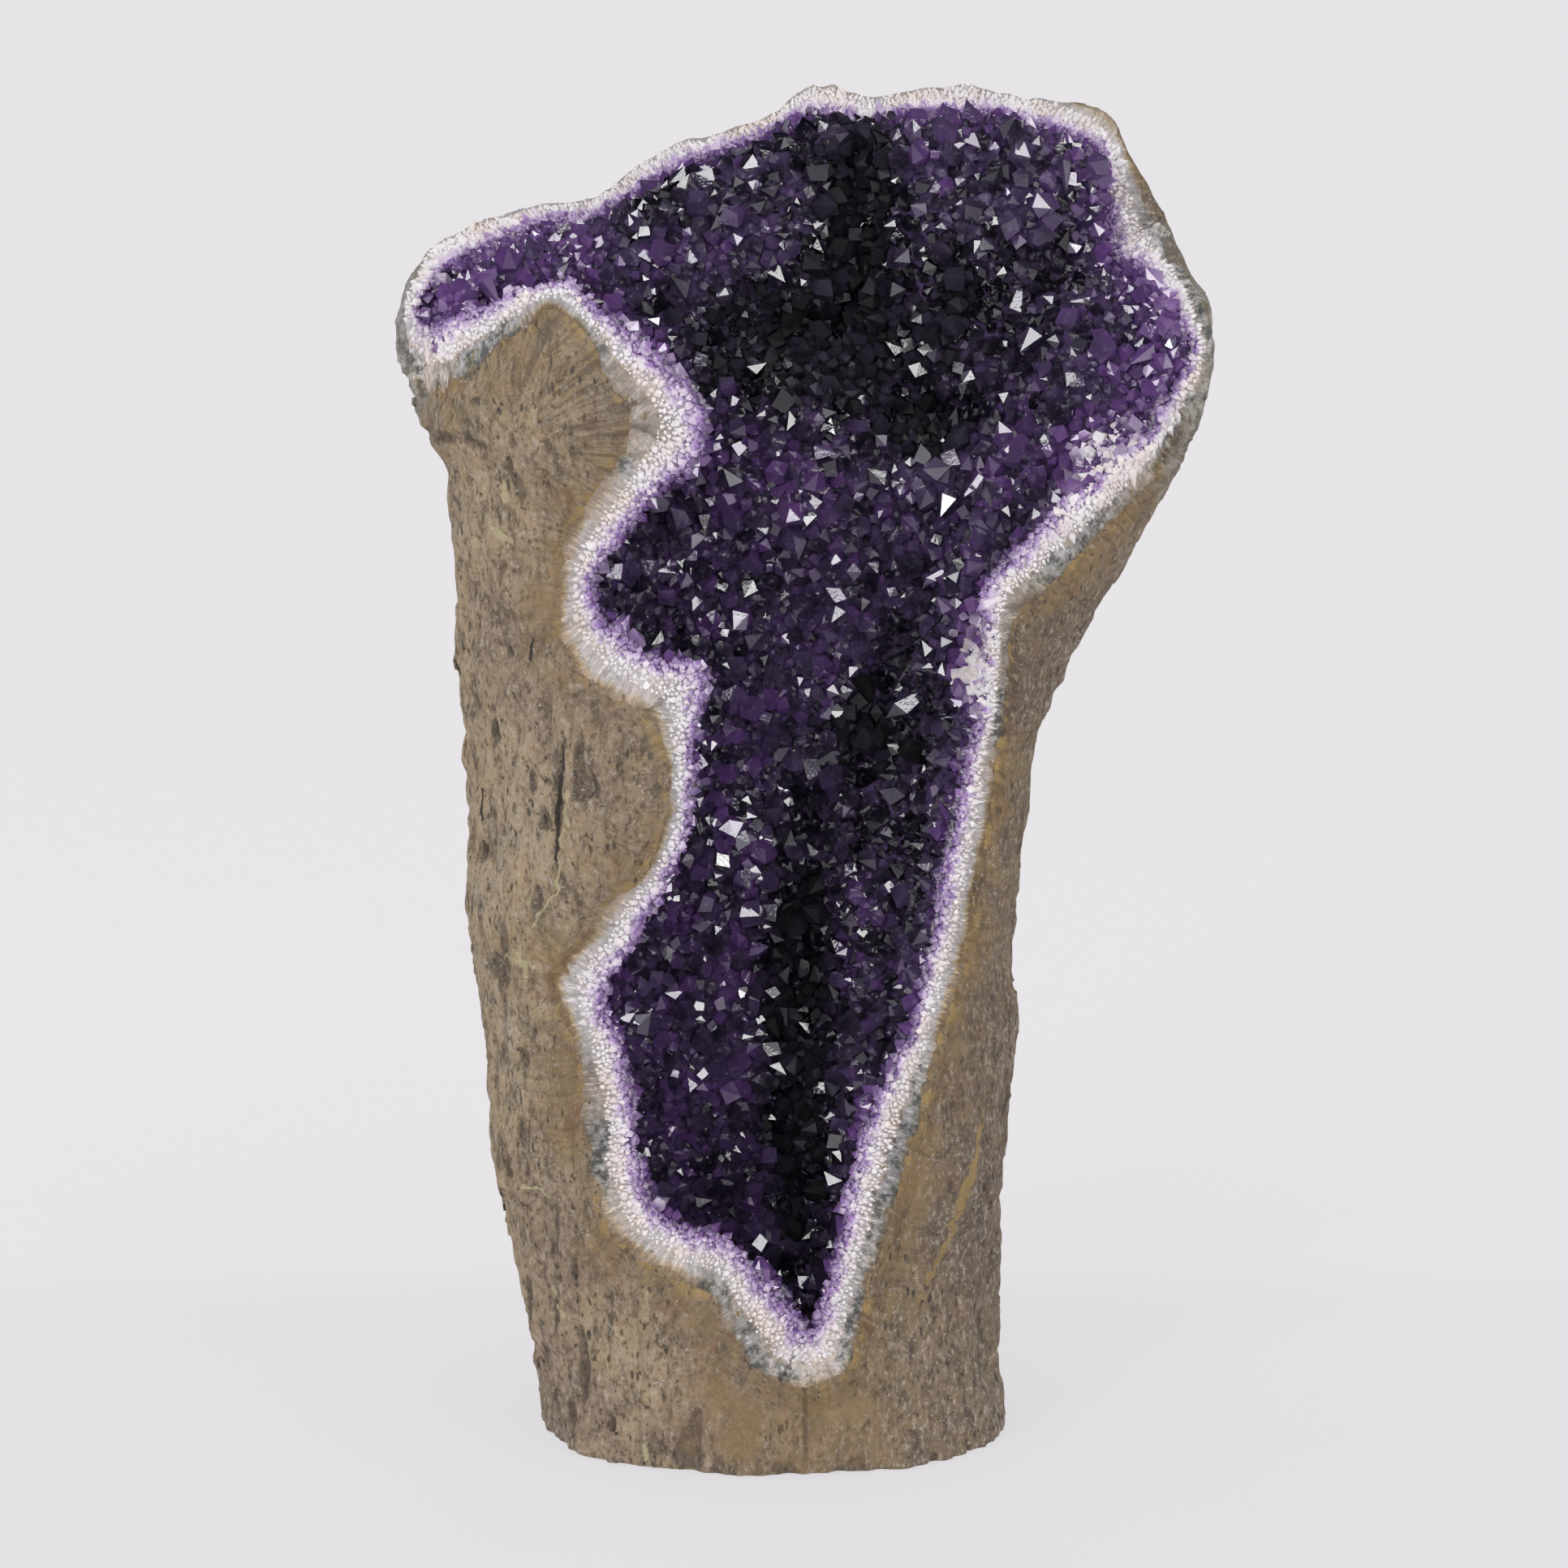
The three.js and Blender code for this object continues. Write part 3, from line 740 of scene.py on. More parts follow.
def distance_from_rim(x, y, z):
    """Distance in space from the amethyst's edge, measured to every sixth point of its line."""
    line = RIM_LINE[::6]
    rock = rock_thickness(line[:, 1])
    line_y = wall_depth(line[:, 0], line[:, 1], rock + LINING, line[:, 4])
    points = np.stack([line[:, 0], line_y, line[:, 1]], axis=1).astype(np.float32)
    flat = np.stack([np.ravel(v) for v in (x, y, z)], axis=1).astype(np.float32)
    best = np.empty(len(flat), dtype=np.float32)
    for start in range(0, len(flat), 20000):
        part = flat[start:start + 20000]
        gaps = (part ** 2).sum(1)[:, None] - 2 * part @ points.T + (points ** 2).sum(1)[None, :]
        best[start:start + 20000] = np.sqrt(np.maximum(gaps.min(axis=1), 0))
    return best.reshape(np.shape(x))


def crust_net(step):
    """Points and quads of the crust that the crystals stand on."""
    grid = Grid(step)
    layers = layer_depth(*grid.axes)
    close = (layers > LINING) & (layers < LINING + CRUST + CRUST_REACH)
    places = grid.places(close)
    to_rim = distance_from_rim(*places)
    thick = crust_thickness(*places, to_rim)
    thick = thick + 5.0 * cloudy(*[axis / 30 for axis in places], 2, 91) * smooth(0, 30, to_rim)
    inside = layers - LINING - CRUST
    inside[close] = layers[close] - LINING - thick
    inner = grid.rim["inner"]
    sunk = np.where(inner < 0, np.minimum(-inner * CRUST_SLOPE, CRUST_SINK), 0)
    cut = grid.in_front(sunk + CRUST_BEHIND)
    field = np.maximum(np.maximum(inside, -CRUST_IN_ROCK - layers), cut)
    return grid.net(field)


def scatter(points, quads, rng, spacing, tries, gap_share):
    """Places on a surface no closer together than their sizes allow, with those sizes."""
    corners = points[quads]
    areas = np.linalg.norm(twice_area(corners), axis=1)
    chosen = rng.choice(len(quads), tries, p=areas / areas.sum())
    across, along = rng.random((2, tries, 1))
    quad = corners[chosen]
    low = quad[:, 0] * (1 - across) + quad[:, 1] * across
    high = quad[:, 3] * (1 - across) + quad[:, 2] * across
    places = low * (1 - along) + high * along
    widths = spacing(places, rng)
    order = np.argsort(-widths * np.exp(rng.normal(0, 0.5, tries)))
    cells = {}
    kept = []
    keys = np.floor(places / SCATTER_CELL).astype(int).tolist()
    spots = places.tolist()
    sizes = widths.tolist()
    nearby = list(itertools.product((-1, 0, 1), repeat=3))
    for candidate in order.tolist():
        x, y, z = spots[candidate]
        a, b, c = keys[candidate]
        size = sizes[candidate]
        others = (other for i, j, k in nearby for other in cells.get((a + i, b + j, c + k), ()))
        if all((x - ox) ** 2 + (y - oy) ** 2 + (z - oz) ** 2 >= (gap_share * (size + other_size)) ** 2
               for ox, oy, oz, other_size in others):
            cells.setdefault((a, b, c), []).append((x, y, z, size))
            kept.append(candidate)
    return places[kept], widths[kept], chosen[kept]


def crystal_mesh(name, places, directions, widths, heights, rng, **facts):
    """Six-sided crystals, all in one mesh. Each widens from a buried root and ends in a pyramid."""
    count = len(places)
    helper = np.where(np.abs(directions[:, 2:3]) < 0.9, [[0.0, 0.0, 1.0]], [[1.0, 0.0, 0.0]])
    right = np.cross(helper, directions)
    right /= np.linalg.norm(right, axis=1, keepdims=True)
    up = np.cross(directions, right)
    angles = rng.random(count)[:, None] * math.tau + np.arange(6) * math.tau / 6
    reach = 0.5 * widths[:, None] * (1 + rng.uniform(-SIDE_SPREAD, SIDE_SPREAD, (count, 6)))
    by_turns = np.where(np.arange(6) % 2, -1, 1) * EDGE_STEP
    uneven = rng.uniform(-EDGE_SPREAD, EDGE_SPREAD, (count, 6)) + by_turns
    lift = heights[:, None] + widths[:, None] * uneven
    ring = places[:, None] + right[:, None] * (reach * np.cos(angles))[..., None]
    ring = ring + up[:, None] * (reach * np.sin(angles))[..., None] + directions[:, None] * lift[..., None]
    off = rng.normal(0, TIP_SPREAD, (2, count, 1)) * widths[:, None]
    tip_height = (heights + widths * rng.uniform(*PYRAMID, count))[:, None]
    tips = places + right * off[0] + up * off[1] + directions * tip_height
    roots = places - directions * (ROOT * widths)[:, None]
    points = np.concatenate([ring, tips[:, None], roots[:, None]], axis=1).reshape(-1, 3)
    pattern = []
    for side in range(6):
        after = (side + 1) % 6
        pattern += [[side, after, 6], [after, side, 7]]
    faces = (np.arange(count) * 8)[:, None, None] + np.array(pattern)[None]
    facts = {label: np.repeat(values, 8) for label, values in facts.items()}
    tip_share = np.tile([0.4] * 6 + [1.0, 0.0], count)
    return mesh_object(name, points, faces.reshape(-1, 3), False, tip=tip_share, **facts)


def crystal_widths(places, rng):
    to_rim = distance_from_rim(*places.T)
    typical = mix(*CRYSTAL_WIDTHS, smooth(2, 40, to_rim))
    patch = 1 + 0.25 * noise(*(places.T / 30), 95) - 0.3 * in_places(places[:, 0], places[:, 2], SMALL_PLACES)
    return np.clip(typical * patch * np.exp(rng.normal(0, 0.32, len(places))), *CRYSTAL_LIMITS)


def sugar_widths(places, rng):
    return SUGAR_WIDTH * np.exp(rng.normal(0, 0.28, len(places)))


def under_rock(points):
    """Which points lie well under the outside of the rock."""
    return depth_under_rock(*points.T) > UNDER_ROCK


def leaning(normals, quads, source, lean, rng):
    """The surface's direction in each crystal's quad, leaning over by chance."""
    directions = normals[quads[source]].mean(axis=1)
    directions += rng.normal(0, lean, directions.shape)
    return directions / np.linalg.norm(directions, axis=1, keepdims=True)


def grow_crystals(points, quads, rng):
    """The crystals of the hollow: place, direction, width, height, lightness and painted shade of each."""
    normals = point_normals(points, quads)
    layers = layer_depth(*points.T)
    facts = rim_facts(points[:, 0], points[:, 2])
    behind = points[:, 1] - facts["cut"]
    showing = (facts["inner"] > 0.5) & ((layers > LINING) | (behind < 5)) & (layers > 0)
    showing |= (behind > 10) & (layers > LINING + 2)
    showing &= (points[:, 2] > ROCK_FLOOR) & under_rock(points)
    quads = quads[showing[quads].all(axis=1)]
    places, widths, source = scatter(points, quads, rng, crystal_widths, CRYSTAL_TRIES, CRYSTAL_GAP)
    directions = leaning(normals, quads, source, CRYSTAL_LEAN, rng)
    to_rim = distance_from_rim(*places.T)
    heights = widths * rng.uniform(*CRYSTAL_HEIGHTS, len(places)) * smooth(-4, 20, to_rim)
    deep_light, more_light = CRYSTAL_LIGHT
    light = deep_light + more_light * smooth(30, -4, to_rim)
    light = light + 0.12 * noise(*(places.T / 22), 97) + paler(places)
    light = light + 0.12 * noise(*(places.T / 6), 96)
    wider = [(x, z, width * PAINTED_DUSK_REACH, height * PAINTED_DUSK_REACH) for x, z, width, height in SHADED_PLACES]
    dark, painted_dusk = darkness(places, SHADED_PLACES), darkness(places, wider)
    # Painted shade: the lightness is lowered in the shaded places and round them.
    return places, directions, widths, heights, light - PAINTED_SHADE_AMOUNT * dark - PAINTED_DUSK_AMOUNT * painted_dusk, dark


def darkness(places, spots):
    """How much shade is painted: 1 in the middle of the shaded spots of the back wall, 0 away from them."""
    return in_places(places[:, 0], places[:, 2], spots) * (places[:, 1] > 0)


def paler(places):
    """How much paler a crystal is for its place. The palest patches are broken up into small bits."""
    more = np.zeros(len(places))
    lattice = 0.3 + 0.7 * smooth(-0.2, 0.15, noise(*(places.T / 3.4), 99))
    for x, z, width, height, strength in PALE_PATCHES:
        far = ((places[:, 0] - x) / width) ** 2 + ((places[:, 2] - z) / height) ** 2
        more += strength * np.exp(-far ** 2) * (lattice if strength > 0.5 else 1.0)
    return more


def in_places(x, z, spots):
    """1 at the middle of any of the spots, 0 away from them."""
    total = np.zeros(np.shape(x))
    for spot_x, spot_z, width, height in spots:
        total = total + np.exp(-(((x - spot_x) / width) ** 2 + ((z - spot_z) / height) ** 2) ** 2)
    return np.minimum(total, 1.0)


def grow_sugar(points, quads, share, on_face, rng):
    """Small crystals on the inner part of the band, the paler the nearer to the rock."""
    normals = point_normals(points, quads)
    showing = on_face & (share > -0.7) & (share < 0.6) & under_rock(points)
    quads = quads[showing[quads].all(axis=1)]
    places, widths, source = scatter(points, quads, rng, sugar_widths, SUGAR_TRIES, SUGAR_GAP)
    place_share = share[quads[source]].mean(axis=1)
    widths = widths * mix(1.1, 0.5, np.clip(place_share * 1.5, 0, 1))
    directions = leaning(normals, quads, source, SUGAR_LEAN, rng) * 0.6 + towards_hollow(places)
    directions = directions + rng.normal(0, 0.22, (len(places), 3))
    directions /= np.linalg.norm(directions, axis=1, keepdims=True)
    heights = widths * rng.uniform(*SUGAR_HEIGHTS, len(places))
    edge_light, more_light = SUGAR_LIGHT
    light = edge_light + more_light * place_share + 0.14 * noise(*(places.T / 8), 98) + paler(places)
    return places, directions, widths, heights, light


def towards_hollow(places):
    """The direction across the band into the hollow, as seen from the front, nearest to each place."""
    line = RIM_LINE[:, :2]
    _, index = nearest_on(line, places[:, 0], places[:, 2])
    along = np.roll(line, -3, axis=0) - np.roll(line, 3, axis=0)
    along = along[index] / np.linalg.norm(along[index], axis=1, keepdims=True)
    after = np.roll(line, -1, axis=0)
    turns = np.sum(line[:, 0] * after[:, 1] - after[:, 0] * line[:, 1])
    sign = 1.0 if turns > 0 else -1.0
    return sign * np.stack([-along[:, 1], 0 * index, along[:, 0]], axis=1)


# Materials

class Nodes:
    """Short names for building a material's nodes. Places are in metres."""

    def __init__(self, name):
        self.material = bpy.data.materials.new(name)
        self.material.use_nodes = True
        self.tree = self.material.node_tree
        self.place = self.new("TexCoord", {}).outputs["Object"]

    def new(self, kind, sockets, **settings):
        """A node with its settings, whose sockets are linked or set."""
        node = self.tree.nodes.new("ShaderNode" + kind)
        for label, value in settings.items():
            setattr(node, label, value)
        self.fill(node, sockets)
        return node

    def fill(self, node, sockets):
        for label, value in sockets.items():
            if isinstance(value, bpy.types.NodeSocket):
                self.tree.links.new(value, node.inputs[label])
            else:
                node.inputs[label].default_value = value

    def finish(self, sockets):
        self.fill(self.tree.nodes["Principled BSDF"], sockets)
        return self.material

    def attribute(self, name):
        return self.new("Attribute", {}, attribute_name=name).outputs["Fac"]

    def axis(self, name):
        return self.new("SeparateXYZ", {0: self.place}).outputs[name]

    def vector(self, x, y):
        return self.new("CombineXYZ", {"X": x, "Y": y}).outputs[0]

    def math(self, operation, first, second=0.0, clamp=False):
        return self.new("Math", {0: first, 1: second}, operation=operation, use_clamp=clamp).outputs[0]

    def times(self, product, *factors):
        for factor in factors:
            product = self.math("MULTIPLY", product, factor)
        return product

    def plus(self, total, *values):
        for value in values:
            total = self.math("ADD", total, value)
        return total

    def minus(self, first, second):
        return self.math("SUBTRACT", first, second)

    def vector_math(self, operation, first, second=(0.0, 0.0, 0.0)):
        other = "Scale" if operation == "SCALE" else 1
        node = self.new("VectorMath", {0: first, other: second}, operation=operation)
        return node.outputs["Value" if operation in ("LENGTH", "DOT_PRODUCT") else "Vector"]

    def ramp(self, value, low, high, to_low=0.0, to_high=1.0):
        """A smooth step from one number to another while the value goes from low to high."""
        limits = {"From Min": low, "From Max": high, "To Min": to_low, "To Max": to_high}
        node = self.new("MapRange", {"Value": value, **limits}, interpolation_type="SMOOTHSTEP")
        return node.outputs["Result"]

    def stretched(self, scales, source=None):
        return self.new("Mapping", {"Scale": scales, "Vector": source or self.place}).outputs["Vector"]

    def noise(self, scale, detail=3.0, rough=0.55, vector=None, twist=0.0):
        grain = {"Scale": scale, "Detail": detail, "Roughness": rough, "Distortion": twist}
        return self.new("TexNoise", {**grain, "Vector": vector or self.place}).outputs["Fac"]

    def wavy(self, scale, reach):
        """The place, moved about by up to half the reach."""
        node = self.new("TexNoise", {"Scale": scale, "Vector": self.place})
        moved = self.vector_math("SUBTRACT", node.outputs["Color"], (0.5, 0.5, 0.5))
        return self.vector_math("ADD", self.place, self.vector_math("SCALE", moved, reach))

    def cells(self, scale, vector):
        return self.new("TexVoronoi", {"Scale": scale, "Vector": vector}).outputs["Distance"]

    def bump(self, height, distance, strength=1.0):
        sockets = {"Height": height, "Distance": distance, "Strength": strength}
        return self.new("Bump", sockets).outputs["Normal"]

    def blend(self, share, first, second, mode="MIX"):
        sockets = {0: share, 6: first, 7: second}
        return self.new("Mix", sockets, data_type="RGBA", blend_type=mode).outputs[2]

    def paint(self, colour, *layers):
        """The colour with others over it, each as much as the product of its shares says."""
        for over, *shares in layers:
            colour = self.blend(self.times(*shares), colour, srgb(*over))
        return colour

    def colours(self, value, stops):
        node = self.new("ValToRGB", {0: value})
        elements = node.color_ramp.elements
        while len(elements) < len(stops):
            elements.new(0.5)
        for element, (place, colour) in zip(elements, stops):
            element.position = place
            element.color = srgb(*colour)
        return node.outputs[0]


def near_line(n, start, end, width, ragged=0.008):
    """1 along a line on the rock's front given by x and z in millimetres, 0 away from it."""
    place = n.vector_math("MULTIPLY", n.wavy(140, ragged), (1, 0, 1))
    begin = (start[0] * MM, 0, start[1] * MM)
    run = ((end[0] - start[0]) * MM, 0, (end[1] - start[1]) * MM)
    offset = n.vector_math("SUBTRACT", place, begin)
    share = n.math("DIVIDE", n.vector_math("DOT_PRODUCT", offset, run), run[0] ** 2 + run[2] ** 2, True)
    away = n.vector_math("LENGTH", n.vector_math("SUBTRACT", offset, n.vector_math("SCALE", run, share)))
    return n.ramp(away, width * MM, width * MM * 0.5)


# Lines on the front, with their start, end and half width in millimetres: cream veins and chips, the open
# cracks beside them, painted dark as the shade in them, and ochre veins.
CREAM_LINES = [
    ((-88.5, 306), (-91, 286), 0.9), ((-92, 286), (-94, 262), 1.3), ((-94, 262), (-106, 244), 1.0),
    ((-121, 417), (-114, 413), 2.2), ((-117, 440), (-115, 430), 1.3), ((-118, 227), (-106, 226), 1.6),
    ((-111, 231), (-109, 221), 1.3), ((-99, 76), (-95, 64), 1.4), ((-58, 4), (-56, 12), 1.5),
    ((-112, 122), (-100, 120), 1.0),
]
CRACK_SHADE_LINES = [
    ((-91, 326), (-91.8, 313), 0.7), ((-91.8, 313), (-93.6, 290), 1.5),
    ((-93.6, 290), (-94.3, 275), 1.1), ((-104, 371), (-105, 362), 0.7), ((-128, 300), (-129, 286), 0.8),
]
OCHRE_LINES = [
    ((93, 154), (87, 129), 1.6), ((87, 129), (78, 105), 2.2), ((78, 105), (62, 73), 1.4),
]
# The middle of the ochre area over the foot.
FOOT_LINE = ((-26, 26), (34, 20), 26)

# Colours of the rock, of the band from the amethyst outwards, and of the crystals from dark to pale.
BROWNS = [
    (0.30, (166, 143, 122)), (0.46, (191, 165, 136)), (0.56, (205, 178, 140)), (0.74, (210, 190, 163)),
]
BAND_INSIDE = [
    (0.00, (112, 72, 150)), (0.08, (176, 150, 196)), (0.16, (228, 218, 232)), (0.30, (250, 246, 248)),
]
WHITE_BAND = BAND_INSIDE + [
    (0.72, (246, 238, 236)), (0.84, (226, 200, 160)), (0.93, (176, 146, 100)), (1.00, (160, 134, 100)),
]
GREY_BAND = BAND_INSIDE + [
    (0.50, (244, 236, 234)), (0.56, (228, 200, 172)), (0.61, (206, 204, 204)), (0.90, (186, 184, 182)),
    (0.98, (164, 146, 118)),
]
VIOLETS = [
    (0.00, (24, 21, 30)), (0.14, (53, 47, 64)), (0.30, (100, 85, 122)), (0.47, (124, 84, 154)),
    (0.64, (158, 118, 186)), (0.80, (216, 198, 226)), (0.96, (250, 246, 248)),
]


def rock_material():
    n = Nodes("basalt")
    from_rim = n.attribute("from_rim")
    on_front = n.ramp(n.axis("Y"), 0.01, -0.01)
    less_behind = n.ramp(n.axis("Y"), 0.0, 0.05, 1.0, 0.4)
    bark = n.noise(95, 6, 0.7, n.stretched((1.4, 1.4, 0.7)), 0.5)
    chips = n.noise(350, 5, 0.72, n.stretched((1.2, 1.2, 0.75)))
    # Small holes, sunken only by bump, painted dark as their shade.
    shaded_holes = n.ramp(n.cells(150, n.stretched((1.7, 1.7, 0.6), n.wavy(60, 0.006))), 0.26, 0.14)
    shaded_holes = n.times(shaded_holes, n.ramp(n.noise(26, 3), 0.46, 0.6), less_behind)
    ochre = n.ramp(n.noise(34, 4, 0.65), 0.44, 0.6, 0.1, 0.75)
    gold = n.ramp(n.noise(130, 3, 0.6), 0.5, 0.6, 0.0, 0.9)
    rust = n.ramp(n.noise(55, 3, 0.6), 0.56, 0.7, 0.0, 0.5)
    flecks = n.times(n.ramp(n.noise(430, 4, 0.75), 0.585, 0.64), n.ramp(n.noise(30, 2), 0.42, 0.56))
    broken = n.times(on_front, n.ramp(n.noise(170, 3, 0.6), 0.36, 0.46))
    by_rim = n.vector(n.times(n.attribute("along_rim"), 0.3), n.times(from_rim, 0.035))
    scored = n.noise(1.0, 4, 0.65, by_rim)
    ground = n.ramp(from_rim, 40, 12)
    fan, fan_zone = fan_grooves(n)
    foot = n.ramp(n.noise(48, 4, 0.6), 0.4, 0.6, 0.15, 0.75)
    # Painted shade: the rock's brown darkens towards its right side, where less light falls.
    painted_side_shade = n.blend(n.ramp(n.axis("X"), -0.06, 0.09), srgb(255, 255, 255), srgb(200, 195, 191))
    brown = n.blend(1.0, n.colours(n.noise(13, 5, 0.6), BROWNS), painted_side_shade, "MULTIPLY")
    colour = n.paint(
        brown,
        ((92, 78, 64), n.ramp(bark, 0.32, 0.54, 0.85, 0.0)),
        ((74, 62, 50), n.ramp(chips, 0.34, 0.47, 0.95, 0.0)),
        ((224, 210, 188), n.ramp(chips, 0.53, 0.64, 0.0, 0.8)),
        ((180, 150, 98), n.ramp(from_rim, 30, 2), ochre, less_behind),
        ((212, 176, 112), n.ramp(from_rim, 5, 1), gold),
        ((160, 112, 80), n.ramp(from_rim, 34, 8), rust),
        # Painted shade in the pits, notches and cracks, the darker the deeper.
        ((74, 62, 52), n.ramp(n.attribute("pit_shade"), 0.2, 0.8, 0.0, 0.6)),
        # Painted shade in the small holes.
        ((62, 52, 44), shaded_holes, 0.8),
        ((226, 218, 204), flecks, 0.85),
        *(((222, 208, 164), near_line(n, *line), broken) for line in CREAM_LINES),
        *(((190, 156, 98), near_line(n, *line), broken) for line in OCHRE_LINES),
        ((92, 78, 60), ground, n.ramp(scored, 0.34, 0.5, 0.42, 0.0)),
        ((102, 86, 70), fan_zone, n.ramp(fan, 0.40, 0.52, 0.5, 0.0)),
        ((204, 184, 152), fan_zone, n.ramp(fan, 0.52, 0.62, 0.0, 0.4)),
        ((176, 144, 96), near_line(n, *FOOT_LINE, 0.02), on_front, foot),
        # Painted shade in the open cracks.
        *(((62, 50, 40), near_line(n, *line, 0.004), on_front) for line in CRACK_SHADE_LINES),
    )
    grey = n.blend(n.ramp(n.noise(190, 4, 0.66), 0.42, 0.6), srgb(224, 218, 210), srgb(146, 142, 132))
    greyed = n.times(n.attribute("grey"), n.ramp(n.noise(50, 3), 0.3, 0.5, 0.6, 1.0))
    pale = n.blend(n.ramp(chips, 0.4, 0.6), srgb(158, 154, 152), srgb(224, 216, 218))
    paled = n.times(n.attribute("back_rim"), n.ramp(n.noise(60, 3), 0.36, 0.5, 0.5, 1.0))
    height = n.minus(n.plus(n.times(bark, 1.2), n.times(chips, 0.55)), n.times(shaded_holes, 0.35))
    height = n.plus(height, n.times(fan, fan_zone), n.times(scored, ground, 0.9))
    return n.finish({
        "Base Color": n.blend(paled, n.blend(greyed, colour, grey), pale),
        "Roughness": n.ramp(chips, 0.4, 0.6, 0.9, 0.55),
        "Normal": n.bump(height, 0.007),
    })


def fan_grooves(n):
    """Grooves that spread from one point of the left lobe, and where they are."""
    across = n.minus(n.axis("X"), FLAP_HEART[0] * MM)
    up = n.minus(n.axis("Z"), FLAP_HEART[1] * MM)
    turn = n.plus(n.math("ARCTAN2", up, across), n.times(across, FAN_CURL / MM))
    far = n.math("SQRT", n.plus(n.times(across, across), n.times(up, up)))
    grooves = n.noise(1.0, 2, 0.6, n.vector(n.times(turn, 20), n.times(far, 22)))
    ring = n.times(n.ramp(far, 0.018, 0.042), n.ramp(far, 0.075, 0.06))
    sector = n.times(n.ramp(turn, 0.0, 0.35), n.ramp(turn, 2.0, 1.6))
    return grooves, n.times(ring, sector, n.ramp(n.axis("Y"), 0.0, -0.02))


def band_material():
    n = Nodes("chalcedony")
    share = n.attribute("share")
    across = n.vector(n.times(n.attribute("run"), 0.75), n.times(share, 1.5))
    streaks = n.noise(1.0, 5, 0.7, across, 0.6)
    wander = n.times(n.minus(n.noise(60, 4, 0.6), 0.5), 0.45)
    place = n.plus(share, wander, n.times(n.minus(streaks, 0.5), 0.55))
    grey = n.attribute("grey")
    colour = n.blend(grey, n.colours(place, WHITE_BAND), n.colours(place, GREY_BAND))
    speckle = n.noise(230, 4, 0.7)
    speckled = n.times(n.ramp(place, 0.46, 0.66), n.ramp(place, 1.04, 0.94))
    speckled = n.times(speckled, n.ramp(grey, 0.1, 0.7, 0.35, 1.0))
    cream = n.ramp(n.noise(22, 2), 0.5, 0.62, 0.0, 0.5)
    colour = n.paint(
        colour,
        ((96, 100, 96), n.ramp(speckle, 0.47, 0.57, 0.0, 0.9), speckled),
        ((246, 242, 244), n.ramp(speckle, 0.44, 0.36, 0.0, 0.95), speckled),
        ((190, 174, 192), n.ramp(streaks, 0.5, 0.64), n.ramp(place, 0.75, 0.35, 0.0, 0.32)),
        ((238, 216, 196), cream, n.ramp(place, 0.2, 0.4)),
    )
    return n.finish({
        "Base Color": colour,
        "Roughness": n.ramp(place, 0.3, 0.9, 0.35, 0.5),
        "Normal": n.bump(n.plus(n.times(streaks, 1.6), n.times(speckle, 0.8)), 0.003),
    })


def crust_material():
    n = Nodes("amethyst_base")
    colour = n.colours(n.noise(90, 3), [(0.3, (50, 40, 64)), (0.7, (86, 66, 108))])
    # Painted shade: the crust is near-black in the shaded places.
    return n.finish({
        "Base Color": n.paint(colour, ((22, 20, 26), n.attribute("dark"))),
        "Roughness": 0.8,
        "Normal": n.bump(n.noise(300, 3), 0.001, 0.6),
        "Specular IOR Level": 0.1,
    })


def crystal_colour(n, tip_darker):
    """Violet where the light attribute is low and white where it is high. Roots are paler than tips."""
    tip = n.times(n.minus(0.4, n.attribute("tip")), tip_darker)
    shade = n.times(n.minus(n.attribute("shade"), 0.5), 0.42)
    place = n.plus(n.attribute("light"), tip, shade)
    return n.colours(n.plus(n.times(place, 0.75), 0.25), VIOLETS)


def quartz(n, colour, transmission, specular, roughness, relief):
    """The material of crystals, see-through by its transmission."""
    return n.finish({
        "Base Color": colour,
        "Roughness": roughness,
        "Normal": relief,
        "IOR": QUARTZ_IOR,
        "Transmission Weight": transmission,
        "Specular IOR Level": specular,
    })


def crystal_material():
    n = Nodes("amethyst")
    veil = n.ramp(n.noise(240, 4, 0.7), 0.54, 0.72, 0.0, 0.5)
    colour = n.paint(crystal_colour(n, 0.25), ((168, 150, 190), veil))
    roughness = n.ramp(n.noise(90, 2), 0.3, 0.7, 0.03, 0.12)
    return quartz(n, colour, AMETHYST_CLEAR, 0.8, roughness, n.bump(n.noise(700, 2), 0.0002, 0.3))


# Painted shade: near-black crystals that hardly reflect, put in the shaded places of the back wall.
def painted_shade_material():
    n = Nodes("amethyst_painted_shade")
    colour = n.blend(n.ramp(n.attribute("shade"), 0.3, 0.9), srgb(34, 34, 38), srgb(50, 46, 60))
    roughness = n.ramp(n.noise(90, 2), 0.3, 0.7, 0.25, 0.45)
    return quartz(n, colour, CLOUDY_CLEAR, 0.03, roughness, n.bump(n.noise(700, 2), 0.0002, 0.3))


def milky_material():
    n = Nodes("milky_quartz")
    cloud = n.ramp(n.noise(330, 3), 0.4, 0.7, 0.0, 0.25)
    warm = n.ramp(n.noise(55, 3), 0.46, 0.6, 0.0, 0.5)
    tip = n.attribute("tip")
    colour = n.paint(
        crystal_colour(n, 0.5),
        ((244, 238, 242), cloud),
        ((244, 226, 214), warm, n.ramp(n.attribute("light"), 0.8, 1.0)),
        ((250, 246, 248), n.ramp(tip, 0.26, 0.38), n.ramp(tip, 0.56, 0.44), 0.3),
    )
    roughness = n.ramp(n.noise(150, 2), 0.3, 0.7, 0.38, 0.65)
    return quartz(n, colour, CLOUDY_CLEAR, 0.25, roughness, n.bump(n.noise(900, 3), 0.0005, 0.6))


